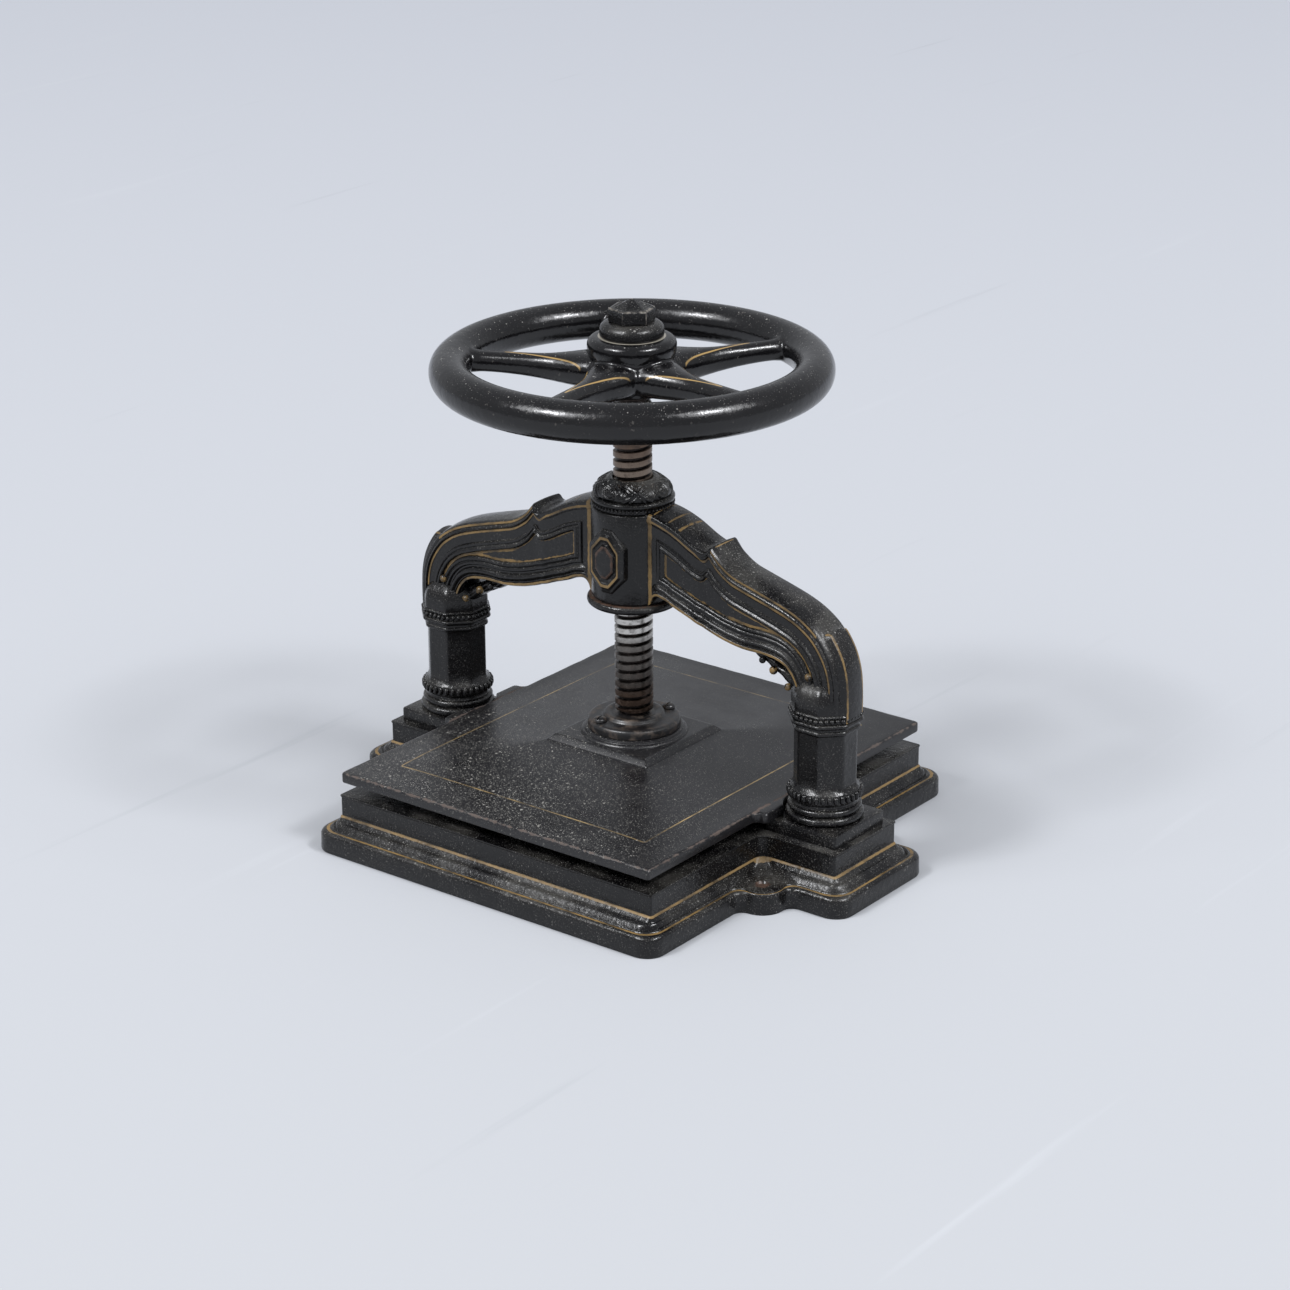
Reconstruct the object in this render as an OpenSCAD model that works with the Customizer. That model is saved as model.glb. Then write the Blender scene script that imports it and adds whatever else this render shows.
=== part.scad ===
// Bookbinding press (nipping press): cast-iron bed and arch, square-threaded screw, guided platen.
// Millimetres, +Z up. Origin on the floor under the screw axis; the two columns stand along X.

/* [Platen and bed] */
// Platen size along the line of the columns
platen_x = 254; // [230:1:260]
// Platen size from front to back
platen_y = 300; // [260:1:320]
// Platen thickness at its edge
platen_edge = 7.4; // [6:0.1:10]
// Rise of the platen's crown from its edge to the pad
platen_crown = 8.5; // [4:0.1:12]
// Daylight between platen and bed at the lowest position
daylight = 8.9; // [8.7:0.1:9.5]
// Height of the bed's pressing face above the floor
bed_h = 37; // [34:1:42]

/* [Arch] */
// Distance from the screw to each column
column_x = 154; // [150:1:160]
// Width of a column across its flats
column_af = 38.4; // [34:0.1:40]
// Height of the top of the boss above the floor
boss_top = 224; // [224:1:230]
// Radius of the boss
boss_r = 27.5; // [26:0.1:30]
// Thickness of the arms from front to back
arm_t = 29; // [24:1:30]

/* [Screw] */
// Outer diameter of the screw
screw_d = 25.4; // [22:0.1:26]
// Pitch of the square thread, four threads to the inch
pitch = 6.35; // [5:0.05:8]

/* [Handwheel] */
// Outer diameter of the handwheel
wheel_d = 260; // [220:1:290]
// Diameter of the round rim
rim_d = 26; // [20:0.5:30]
// Height of the rim's centre above the floor
wheel_z = 315; // [312:1:330]
// Number of spokes
spokes = 5; // [4:1:6]
// Direction of the first spoke from the line of the columns
spoke_phase = -10; // [-36:1:36]

/* [Fixings] */
// Diameter of the hold-down bolts
hold_bolt_d = 12; // [10:1:14]
// Diameter of the bolt-down holes in the bed's ears
ear_hole_d = 7; // [5:0.5:8]

/* [Hidden] */
$fn = 48;

iron = "#26272a";
steel = "#8d8780";
gunmetal = "#8a6f3e";

run_fit = 0.05;      // radial clearance where parts turn or slot together
gap = 0.3;           // clearance between faces that pass each other

// Bed: half sizes of its foot and of the plain slab on top, each with its column lugs
foot_x = 140.5;
foot_y = 165;
foot_lug_x = 201.5;
foot_lug_y = 49;
foot_h = 14.5;       // upright foot below the moulding
slab_x = 128.5;
slab_y = 149.5;
slab_lug_x = 186;
slab_lug_y = 34;
slab_z = 22;         // underside of the plain slab
ear_x = 146.5;       // centre of the round ear that takes a bench bolt
ear_y = 57;
ear_r = 15.5;
ear_fillet = 7;
corner_r = 13;

plinth_h = bed_h + daylight - gap;   // top of the columns' square plinths
plinth_half = 27.5;
base_ring_r = 25;
capital_z = 113;
capital_r = 25;
cap_top = 142;
column_r = column_af / 2 / cos(22.5);

platen_z = bed_h + daylight;
platen_top = platen_z + platen_edge;
pad_half = 41.5;
pad_h = 4.2;
pad_z = platen_top + platen_crown;
socket_z = 56;
socket_r = 15.5;
socket_ring_r = 35;
socket_top = pad_z + pad_h + 4;
notch_r = 26.3;      // notch in the platen round a column
tab_x = 135;
tab_y = 38;

screw_r = screw_d / 2;
root_r = screw_r - pitch / 2;
thread_z = 81;
thread_top = 296;
hub_z = 301.5;
hub_top = wheel_z + 22;
hub_r = 28.9;
square_w = 17;
stud_r = 8;
thrust_t = 3;
collar_r = 15;
flange_r = 31;
flange_t = 6.5;
retaining_pcd = 25.5;
retaining_angle = 65;
nut_flange_t = 5.5;
nut_flange_r = 30.6;
nut_body_r = 20;
boss_z = 162.5;
cap_ring_r = 27.5;   // ring round the foot of the dome cap
lock_pin_z = 168;

// ---- outlines -------------------------------------------------------------------------------

function arc(cx, cy, r, a0, a1, n = 8) = [for (i = [0:n]) let (a = a0 + (a1 - a0) * i / n)
  [cx + r * cos(a), cy + r * sin(a)]];

function bezier(a, b, c, d, n = 8) = [for (i = [0:n]) let (t = i / n, u = 1 - t)
  u * u * u * a + 3 * u * u * t * b + 3 * u * t * t * c + t * t * t * d];

function mirror_x(points) = [for (i = [len(points) - 1:-1:0]) [-points[i][0], points[i][1]]];
function mirror_y(points) = [for (i = [len(points) - 1:-1:0]) [points[i][0], -points[i][1]]];
function all_four(quarter) = let (right = concat(mirror_y(quarter), quarter)) concat(right, mirror_x(right));

// One quarter of the bed's foot: lug, round ear for the bolt-down hole, rounded corner
function foot_quarter(inset) = let (
    x = foot_x - inset,
    y = foot_y - inset,
    lx = foot_lug_x - inset,
    ly = foot_lug_y - inset,
    r = ear_r - inset / 3,
    cr = corner_r,
    f = ear_fillet,
    side_y = ear_y + sqrt(pow(r + f, 2) - pow(x + f - ear_x, 2)),
    lug_fx = ear_x + sqrt(pow(r + f, 2) - pow(ly + f - ear_y, 2)),
    side_a = atan2(side_y - ear_y, x + f - ear_x),
    lug_a = atan2(ly + f - ear_y, lug_fx - ear_x)
  ) concat(
    arc(lx - cr, ly - cr, cr, 0, 90),
    arc(lug_fx, ly + f, f, 270, 180 + lug_a, 4),
    arc(ear_x, ear_y, r, lug_a, side_a),
    arc(x + f, side_y, f, 180 + side_a, 180, 4),
    arc(x - cr, y - cr, cr, 0, 90)
  );

// One quarter of the plain slab: sharp corners and a fillet where the lug meets the plate
function slab_quarter(fillet = 8) = concat(
    [[slab_lug_x, slab_lug_y]],
    arc(slab_x + fillet, slab_lug_y + fillet, fillet, 270, 180),
    [[slab_x, slab_y]]
  );

// Outline of the right arm seen from the front, from the boss out to the column
function arm_outline() = concat(
    bezier([12, 226], [38, 226], [50, 210], [66, 209]),
    bezier([72.5, 213], [78, 203], [88, 199], [100, 195.5]),
    bezier([108, 193], [122, 190], [138, 186], [150, 177]),
    bezier([156, 175.5], [168, 168], [171.5, 146], [171.5, 116]),
    bezier([137, 116], [137, 147], [122, 150], [104, 149]),
    bezier([96, 149.4], [84, 150], [62, 158], [44, 165.5]),
    bezier([40, 167.5], [34, 171], [28, 170], [24, 164], 5),
    [[12, 164]]
  );

// Elongated octagon of the raised ornament on the boss
ornament = [[3.5, 19.5], [13, 8.5], [13, -8.5], [3.5, -19.5], [-3.5, -19.5], [-13, -8.5], [-13, 8.5], [-3.5, 19.5]];

// ---- frame ----------------------------------------------------------------------------------

module bed() {
  rib = 4;
  wall = 9;
  pocket_top = 25;
  pocket_x = slab_x - wall;
  pocket_y = slab_y - wall;
  bolt_pocket_r = 15;
  bolt_pocket_h = 20;
  seat_r = 8;
  steps = 3;
  step_inset = 3;
  step_h = (slab_z - foot_h) / steps;
  color(iron) difference() {
    union() {
      linear_extrude(foot_h) polygon(all_four(foot_quarter(0)));
      for (i = [0:steps - 1]) translate([0, 0, foot_h + i * step_h])
        linear_extrude(step_h) polygon(all_four(foot_quarter(step_inset * (i + 1))));
      translate([0, 0, slab_z]) linear_extrude(bed_h - slab_z) polygon(all_four(slab_quarter()));
    }
    for (sx = [-1, 1], sy = [-1, 1]) {
      translate([sx > 0 ? rib : -pocket_x, sy > 0 ? rib : -pocket_y, -1])
        cube([pocket_x - rib, pocket_y - rib, pocket_top + 1]);
      translate([sx * ear_x, sy * ear_y, -1]) cylinder(d = ear_hole_d, h = foot_h + 2);
      translate([sx * ear_x, sy * ear_y, foot_h]) cylinder(r = seat_r, h = slab_z - foot_h);
    }
    for (sx = [-1, 1]) translate([sx * column_x, 0, -1]) {
      cylinder(r = bolt_pocket_r, h = bolt_pocket_h + 1);
      cylinder(r = hold_bolt_d / 2 + 0.5, h = bed_h + 2);
    }
  }
}

// Half profile of a column's turned mouldings: base rings, bead and capital
module column_rings() {
  r = column_r - 1;
  rotate_extrude() polygon(concat(
    [[0, plinth_h], [base_ring_r, plinth_h]],
    arc(base_ring_r - 2.5, plinth_h + 2.8, 2.8, -80, 80, 6),
    [[23, plinth_h + 6.4]],
    arc(22, plinth_h + 9, 2.2, -70, 70, 5),
    [[21, plinth_h + 12.5], [22, 60.5]],
    arc(base_ring_r - 4, 63.5, 3.6, -65, 65, 6),
    [[21.2, 68.5], [r, 71], [r, 106.5], [21.8, 108.5], [21.8, 110]],
    [[23, 111.5], [22.6, capital_z - 0.4]],
    arc(capital_r - 4, capital_z + 3.5, 4, -65, 65, 6),
    [[22.5, 121], [0, 121]]
  ));
}

module column() {
  dome_steps = [[23, 131], [22, 135], [19.5, 139], [15.5, cap_top]];
  translate([-plinth_half, -plinth_half, bed_h]) cube([2 * plinth_half, 2 * plinth_half, plinth_h - bed_h]);
  column_rings();
  rotate([0, 0, 22.5]) {
    translate([0, 0, plinth_h]) cylinder(r = column_r, h = 121 - plinth_h, $fn = 8);
    for (s = dome_steps) translate([0, 0, 121]) cylinder(r = s[0], h = s[1] - 121, $fn = 8);
  }
}

module scroll_bracket() {
  scroll_t = 20;
  for (s = [[130.5, 137, 7.5], [119, 145, 6.5]])
    translate([s[0], 0, s[1]]) rotate([90, 0, 0]) cylinder(r = s[2], h = scroll_t, center = true);
}

module arch() {
  ornament_steps = [[1, 28.6], [0.8, 30.6], [0.55, 32]];
  thread_hole_top = 80;
  color(iron) difference() {
    union() {
      for (side = [0, 1]) mirror([side, 0, 0]) {
        rotate([90, 0, 0]) linear_extrude(arm_t, center = true) polygon(arm_outline());
        translate([column_x, 0, 0]) column();
        scroll_bracket();
      }
      translate([0, 0, boss_z]) cylinder(r = boss_r, h = boss_top - boss_z);
      for (turn = [0, 180], s = ornament_steps) translate([0, 0, 192]) rotate([90, 0, turn])
        linear_extrude(s[1]) polygon(s[0] * ornament);
    }
    translate([0, 0, boss_z - 1]) cylinder(r = nut_body_r + run_fit, h = boss_top - boss_z + 2);
    translate([0, 0, boss_top]) cylinder(r = cap_ring_r + gap, h = 10);
    translate([0, 0, lock_pin_z]) rotate([-90, 0, 0]) cylinder(r = 2.5 + run_fit, h = boss_r + 5);
    for (sx = [-1, 1]) translate([sx * column_x, 0, bed_h - 1])
      cylinder(r = hold_bolt_d / 2 + run_fit, h = thread_hole_top - bed_h + 1);
  }
}

module screw_nut() {
  color(gunmetal) difference() {
    rotate_extrude() polygon(concat(
      [[screw_r + run_fit, boss_z - nut_flange_t]],
      arc(nut_flange_r - 2.5, boss_z - nut_flange_t + 2.5, 2.5, -90, 0, 5),
      [[nut_flange_r, boss_z - 0.1], [nut_body_r, boss_z - 0.1], [nut_body_r, boss_top]],
      [[screw_r + run_fit, boss_top]]
    ));
    translate([0, 0, lock_pin_z]) rotate([-90, 0, 0]) translate([0, 0, 15]) cylinder(r = 2.5 + run_fit, h = 10);
  }
}

module nut_lock_pin() {
  color(steel) translate([0, 15.2, lock_pin_z]) rotate([-90, 0, 0]) cylinder(r = 2.5, h = boss_r - 15.4);
}

module dome_cap() {
  top = boss_top + 19.4;
  color(iron) rotate_extrude() polygon(concat(
    [[screw_r + 0.6, boss_top + 0.1], [cap_ring_r - 1.5, boss_top + 0.1]],
    arc(cap_ring_r - 2.5, boss_top + 3.6, 2.5, -60, 60, 5),
    bezier([cap_ring_r - 0.5, boss_top + 7.5], [cap_ring_r, boss_top + 12], [21, boss_top + 14], [screw_r + 2.5, top], 8),
    [[screw_r + 0.6, top]]
  ));
}

module hold_down_bolt(side) {
  head_af = 19;
  head_h = 8;
  seat_z = 17.8;
  shank_top = 78;
  color(steel) translate([side * column_x, 0, seat_z - head_h]) {
    cylinder(d = head_af / cos(30), h = head_h, $fn = 6);
    cylinder(d = hold_bolt_d, h = shank_top - seat_z + head_h);
  }
}

module hold_down_washer(side) {
  washer_z = 17.9;
  color(steel) translate([side * column_x, 0, washer_z]) difference() {
    cylinder(d = 24, h = 2);
    translate([0, 0, -1]) cylinder(d = hold_bolt_d + 0.6, h = 4);
  }
}

// ---- platen ---------------------------------------------------------------------------------

function platen_quarter() = let (
    x = platen_x / 2,
    y = platen_y / 2,
    f = 5,
    reach = sqrt(pow(notch_r, 2) - pow(column_x - tab_x, 2)),
    a_end = atan2(reach, tab_x - column_x)
  ) concat(
    arc(column_x, 0, notch_r, 180, a_end, 5),
    arc(tab_x - 3, tab_y - 3, 3, 0, 90, 4),
    arc(x + f, tab_y + f, f, 270, 180, 4),
    arc(x - 2, y - 2, 2, 0, 90, 4)
  );

module retaining_places() {
  for (turn = [0, 180]) rotate([0, 0, retaining_angle + turn]) translate([retaining_pcd, 0, 0]) children();
}

module platen() {
  crown_inset = 8;
  screw_hole_z = 60;
  color(iron) difference() {
    union() {
      translate([0, 0, platen_z]) linear_extrude(platen_edge) polygon(all_four(platen_quarter()));
      hull() {
        translate([crown_inset - platen_x / 2, crown_inset - platen_y / 2, platen_top - 1])
          cube([platen_x - 2 * crown_inset, platen_y - 2 * crown_inset, 1]);
        translate([-pad_half, -pad_half, platen_top]) cube([2 * pad_half, 2 * pad_half, platen_crown]);
      }
      translate([-pad_half + 1, -pad_half + 1, pad_z - 1]) cube([2 * pad_half - 2, 2 * pad_half - 2, pad_h + 1]);
      translate([0, 0, pad_z]) cylinder(r = socket_ring_r, h = socket_top - pad_z);
    }
    translate([0, 0, socket_z]) cylinder(r = socket_r, h = 20);
    retaining_places() translate([0, 0, screw_hole_z]) cylinder(r = 2.5 + run_fit, h = 20);
  }
}

module thrust_pad() {
  color(steel) translate([0, 0, socket_z]) cylinder(r = 12, h = thrust_t);
}

module retaining_plate() {
  inner_r = 20;
  inner_h = 3;
  color(iron) difference() {
    translate([0, 0, socket_top]) rotate_extrude() polygon(concat(
      [[root_r + run_fit, 0], [flange_r, 0]],
      arc(flange_r - 2, flange_t - 2, 2, 0, 90, 5),
      [[inner_r + 1, flange_t]],
      arc(inner_r - 1.5, flange_t + inner_h - 1.5, 1.5, 0, 90, 4),
      [[root_r + run_fit, flange_t + inner_h]]
    ));
    retaining_places() translate([0, 0, socket_top - 1]) cylinder(r = 2.6, h = flange_t + 2);
  }
}

module retaining_screw(turn) {
  head_r = 4.5;
  head_h = 2.8;
  shank = 14;
  color(steel) rotate([0, 0, retaining_angle + turn]) translate([retaining_pcd, 0, socket_top + flange_t]) {
    translate([0, 0, -shank]) cylinder(r = 2.5, h = shank + 0.1);
    rotate_extrude() polygon(concat([[0, 0.05], [head_r, 0.05]],
      bezier([head_r, 1], [head_r - 0.4, head_h - 0.4], [2, head_h], [0, head_h], 5)));
  }
}

// ---- screw ----------------------------------------------------------------------------------

module screw() {
  turns = floor((thread_top - thread_z) / pitch);
  ridge = pitch / 2 - 0.1;
  foot_z = socket_z + thrust_t + 0.2;
  color(steel) difference() {
    union() {
      rotate_extrude() polygon(concat(
        [[0, foot_z], [root_r - 1, foot_z], [root_r, foot_z + 1]],
        [for (i = [0:turns - 1], p = [[root_r, 0], [screw_r, 0], [screw_r, ridge], [root_r, ridge]])
          [p[0], thread_z + i * pitch + p[1]]],
        [[root_r, thread_top], [screw_r, thread_top], [screw_r, hub_z], [0, hub_z]]
      ));
      translate([-square_w / 2, -square_w / 2, hub_z - 1]) cube([square_w, square_w, hub_top - hub_z]);
      translate([0, 0, hub_z]) cylinder(r = stud_r, h = 353 - hub_z);
    }
    translate([0, 0, 65]) rotate([0, 90, 0]) cylinder(r = 2.5 + run_fit, h = 40, center = true);
  }
}

module screw_collar() {
  color(steel) difference() {
    translate([0, 0, 60.8]) cylinder(r = collar_r, h = socket_top - gap - 60.8);
    translate([0, 0, 60]) cylinder(r = root_r + run_fit, h = 20);
    translate([0, 0, 65]) rotate([0, 90, 0]) cylinder(r = 2.5 + run_fit, h = 40, center = true);
  }
}

module collar_pin() {
  color(steel) translate([0, 0, 65]) rotate([0, 90, 0]) cylinder(r = 2.5, h = 28.5, center = true);
}

module spoke() {
  rim_r = wheel_d / 2 - rim_d / 2;
  root_w = 30;
  hull() {
    translate([20, 0, wheel_z - 3]) rotate([0, 90, 0]) cylinder(r = 10, h = 2, $fn = 24);
    translate([19, -root_w / 2, wheel_z - 10.6]) cube([2.4, root_w, 11]);
    translate([58, 0, wheel_z - 1]) rotate([0, 90, 0]) cylinder(r = 7.4, h = 1, $fn = 24);
  }
  translate([57, 0, wheel_z - 1]) rotate([0, 90, 0]) cylinder(r = 7.2, h = rim_r - 57);
}

module handwheel() {
  rim_r = wheel_d / 2 - rim_d / 2;
  color(iron) difference() {
    union() {
      translate([0, 0, wheel_z]) rotate_extrude() translate([rim_r, 0]) circle(d = rim_d);
      rotate_extrude() polygon(concat(
        [[0, hub_z], [26, hub_z], [27, hub_z + 1], [26, hub_z + 6], [26, wheel_z + 6], [hub_r - 0.1, wheel_z + 11]],
        arc(hub_r - 4, hub_top - 4.5, 4, 0, 80, 5),
        [[22, hub_top], [0, hub_top]]
      ));
      for (i = [0:spokes - 1]) rotate([0, 0, spoke_phase + 360 * i / spokes]) spoke();
    }
    translate([-square_w / 2 - run_fit, -square_w / 2 - run_fit, hub_z - 1])
      cube([square_w + 2 * run_fit, square_w + 2 * run_fit, hub_top - hub_z + 2]);
  }
}

module hub_washer() {
  washer_h = 9.5;
  color(iron) translate([0, 0, hub_top + 0.1]) rotate_extrude() polygon(concat(
    [[stud_r + run_fit, 0], [18.5, 0]],
    arc(16.2, 4.6, 4.6, -60, 75, 7),
    [[stud_r + run_fit, washer_h]]
  ));
}

module wheel_nut() {
  nut_r = 15.4;
  nut_z = hub_top + 9.7;
  nut_h = 9.5;
  color(iron) rotate([0, 0, 45]) difference() {
    union() {
      translate([0, 0, nut_z]) cylinder(r = nut_r, h = nut_h, $fn = 6);
      translate([0, 0, nut_z + nut_h]) cylinder(r1 = nut_r, r2 = 9, h = 1.6, $fn = 6);
      translate([0, 0, nut_z + nut_h + 1.6]) cylinder(r1 = 9, r2 = 0.6, h = 4, $fn = 6);
    }
    translate([0, 0, nut_z - 1]) cylinder(r = stud_r + run_fit, h = 8);
  }
}

bed();
arch();
screw_nut();
nut_lock_pin();
dome_cap();
hold_down_bolt(-1);  // hold_down_bolt_left
hold_down_bolt(1);  // hold_down_bolt_right
hold_down_washer(-1);  // hold_down_washer_left
hold_down_washer(1);  // hold_down_washer_right
platen();
thrust_pad();
retaining_plate();
retaining_screw(180);  // retaining_screw_front
retaining_screw(0);  // retaining_screw_back
screw();
screw_collar();
collar_pin();
handwheel();
hub_washer();
wheel_nut();
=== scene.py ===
import math

import bmesh
import bpy
import numpy as np
from mathutils import Matrix, Vector


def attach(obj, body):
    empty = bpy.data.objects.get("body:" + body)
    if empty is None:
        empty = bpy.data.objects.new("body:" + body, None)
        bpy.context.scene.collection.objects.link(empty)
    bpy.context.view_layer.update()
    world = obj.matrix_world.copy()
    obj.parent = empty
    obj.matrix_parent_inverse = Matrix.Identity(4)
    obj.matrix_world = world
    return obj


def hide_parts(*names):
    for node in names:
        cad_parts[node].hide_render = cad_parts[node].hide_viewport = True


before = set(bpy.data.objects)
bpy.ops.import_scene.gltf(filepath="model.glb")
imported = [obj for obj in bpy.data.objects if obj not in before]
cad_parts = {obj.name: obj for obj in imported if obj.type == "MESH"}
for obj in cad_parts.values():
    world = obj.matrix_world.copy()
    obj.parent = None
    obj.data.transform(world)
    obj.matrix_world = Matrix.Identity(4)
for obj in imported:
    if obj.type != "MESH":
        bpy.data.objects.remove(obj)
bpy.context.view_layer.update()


# ---- studio ---------------------------------------------------------------------------------
# A pale blue-grey seamless paper floor, scuffed a little by what has stood on it. Two large
# softboxes stand high on either side of the camera, and a white room fills the shadows.

def linear(hex_colour):
    """An sRGB hex colour as linear red, green, blue and alpha."""
    parts = [int(hex_colour[i:i + 2], 16) / 255 for i in (1, 3, 5)]
    return tuple(c / 12.92 if c <= 0.04045 else ((c + 0.055) / 1.055) ** 2.4 for c in parts) + (1,)


def add(tree, kind, links=(), **settings):
    """Adds one shader node and links or fills its inputs. A node given as a value means its first output."""
    made = tree.nodes.new("ShaderNode" + kind)
    for name, value in settings.items():
        setattr(made, name, value)
    for socket, value in dict(links).items():
        if isinstance(value, bpy.types.Node):
            value = next(output for output in value.outputs if output.enabled)
        if isinstance(value, bpy.types.NodeSocket):
            tree.links.new(value, made.inputs[socket])
        else:
            made.inputs[socket].default_value = value
    return made


def new_material(name):
    material = bpy.data.materials.new(name)
    material.use_nodes = True
    material.node_tree.nodes.clear()
    return material, material.node_tree


CAMERA_AZIMUTH = -52.26      # degrees from +X, seen from above
CAMERA_ROLL = -0.31
camera_data = bpy.data.cameras.new("camera")
camera_data.lens = 98.6
camera_data.sensor_width = 36
camera_data.clip_end = 50
camera = bpy.data.objects.new("camera", camera_data)
bpy.context.scene.collection.objects.link(camera)
back = Vector((0.570475, -0.737047, 0.362381)).normalized()
right = Vector((0, 0, 1)).cross(back).normalized()
up = back.cross(right)
roll = math.radians(CAMERA_ROLL)
right, up = right * math.cos(roll) + up * math.sin(roll), up * math.cos(roll) - right * math.sin(roll)
camera.matrix_world = Matrix((
    (right.x, up.x, back.x, 1.33188),
    (right.y, up.y, back.y, -1.70884),
    (right.z, up.z, back.z, 0.96790),
    (0, 0, 0, 1),
))
bpy.context.scene.camera = camera
bpy.context.scene.view_settings.view_transform = "Standard"

world = bpy.data.worlds.new("white_room")
bpy.context.scene.world = world
world.use_nodes = True
world.node_tree.nodes.clear()
room = add(world.node_tree, "Background", {"Color": linear("#e6e9ef"), "Strength": 0.6})
add(world.node_tree, "OutputWorld", {"Surface": room})

# Each softbox is a bright flash tube that shows through the middle of a wide white cloth
SOFTBOX_AWAY, SOFTBOX_UP = 8, math.radians(47)      # metres from the press, and angle above the floor
TUBE, CLOTH = (1.45, 1.1), (5, 3.4)                 # width and height, metres
for name, turn, power, (wide, tall) in (
        ("softbox_left_tube", -58, 300, TUBE), ("softbox_left_cloth", -58, 300, CLOTH),
        ("softbox_right_tube", 57, 280, TUBE), ("softbox_right_cloth", 57, 285, CLOTH)):
    lamp = bpy.data.lights.new(name, "AREA")
    lamp.shape = "RECTANGLE"
    lamp.size = wide
    lamp.size_y = tall
    lamp.energy = power
    lamp.color = linear("#fbfcff")[:3]
    a, flat = math.radians(CAMERA_AZIMUTH + turn), math.cos(SOFTBOX_UP)
    towards = Vector((math.cos(a) * flat, math.sin(a) * flat, math.sin(SOFTBOX_UP)))
    softbox = bpy.data.objects.new(name, lamp)
    softbox.location = towards * SOFTBOX_AWAY + Vector((0, 0, 0.2))
    softbox.rotation_euler = towards.to_track_quat("Z", "Y").to_euler()
    bpy.context.scene.collection.objects.link(softbox)

paper, tree = new_material("paper_with_painted_light_gradient")
place = add(tree, "TexCoord").outputs["Object"]
# Painted light: the paper's colour is made a little lighter towards its far end, away from the softboxes, to even out
# the light falling off there
away = add(tree, "VectorMath", {0: place, 1: (-back.x, -back.y, 0)}, operation="DOT_PRODUCT")
far = add(tree, "MapRange", {"Value": away, "From Min": -0.8, "From Max": 3.4})
tone = add(tree, "Mix", {"Factor": far, "A": linear("#a8aaad"), "B": linear("#bec1c8")}, data_type="RGBA")
for turn, scale, low, tint in ((0.7, 26, 0.67, "#bdc0c4"), (-0.5, 34, 0.68, "#96999e"), (1.9, 18, 0.67, "#b9bcc0")):
    drawn = add(tree, "Mapping", {"Vector": place, "Rotation": (0, 0, turn), "Scale": (1, 0.05, 1)})
    scuff = add(tree, "TexNoise", {"Vector": drawn, "Scale": scale, "Detail": 6})
    mark = add(tree, "MapRange", {"Value": scuff, "From Min": low, "From Max": low + 0.14, "To Max": 0.5})
    tone = add(tree, "Mix", {"Factor": mark, "A": tone, "B": linear(tint)}, data_type="RGBA")
shader = add(tree, "BsdfPrincipled", {"Base Color": tone, "Roughness": 0.7})
add(tree, "OutputMaterial", {"Surface": shader})

FLOOR_HALF = 9                   # metres
floor_mesh = bpy.data.meshes.new("floor")
floor_mesh.from_pydata([(x, y, 0) for x, y in ((-1, -1), (1, -1), (1, 1), (-1, 1))], [], [(0, 1, 2, 3)])
floor_mesh.transform(Matrix.Scale(FLOOR_HALF, 4))
floor_mesh.materials.append(paper)
floor = bpy.data.objects.new("floor", floor_mesh)
bpy.context.scene.collection.objects.link(floor)


# ---- bed ------------------------------------------------------------------------------------
# The bed is a hollow grey-iron casting: a plain slab on a moulded foot, with a lug under each
# column and round ears for bench bolts. It was stoved with black japan and lined in gold paint.

MM = 0.001


def piece(name, points, faces, body, slot, materials, stands_for=(), sharp=38, **marks):
    """Makes one piece from points in millimetres. Each of marks is a value for every point."""
    mesh = bpy.data.meshes.new(name)
    mesh.from_pydata((np.asarray(points, float) * MM).tolist(), [], [tuple(int(i) for i in f) for f in faces])
    for mark, values in marks.items():
        mesh.attributes.new(mark, "FLOAT", "POINT").data.foreach_set("value", np.asarray(values, np.float32))
    tidy = bmesh.new()
    tidy.from_mesh(mesh)
    bmesh.ops.remove_doubles(tidy, verts=tidy.verts, dist=2e-6)
    bmesh.ops.dissolve_degenerate(tidy, edges=tidy.edges, dist=1e-6)
    open_edges = [e for e in tidy.edges if e.is_boundary]
    if open_edges:
        bmesh.ops.holes_fill(tidy, edges=open_edges, sides=0)
    bmesh.ops.recalc_face_normals(tidy, faces=tidy.faces)
    tidy.to_mesh(mesh)
    tidy.free()
    made = bpy.data.objects.new(name, mesh)
    bpy.context.scene.collection.objects.link(made)
    finish_piece(made, body, materials, stands_for, sharp)
    return made


def finish_piece(made, body, materials, stands_for, sharp=38):
    mesh = made.data
    mesh.materials.clear()
    for material in materials:
        mesh.materials.append(material)
    mesh.shade_smooth()
    mesh.set_sharp_from_angle(angle=math.radians(sharp))
    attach(made, body)
    if stands_for:
        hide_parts(*stands_for)


def apply_modifiers(made):
    """Keeps the shape that a piece's modifiers give it."""
    shaped = made.evaluated_get(bpy.context.evaluated_depsgraph_get())
    mesh = bpy.data.meshes.new_from_object(shaped)
    made.modifiers.clear()
    made.data = mesh


def loft(rings):
    """Points and faces of a closed skin over rings that all have the same number of points."""
    rings = np.asarray(rings, float)
    m, n = rings.shape[:2]
    at = np.arange(m * n).reshape(m, n)
    after = np.roll(at, -1, axis=1)
    faces = np.stack([at[:-1], after[:-1], after[1:], at[1:]], axis=-1).reshape(-1, 4).tolist()
    faces += [at[0][::-1].tolist(), at[-1].tolist()]
    return rings.reshape(-1, 3), faces


def arc(cx, cy, r, start, end, n):
    a = np.radians(np.linspace(start, end, n))
    return np.column_stack([cx + r * np.cos(a), cy + r * np.sin(a)])


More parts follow.
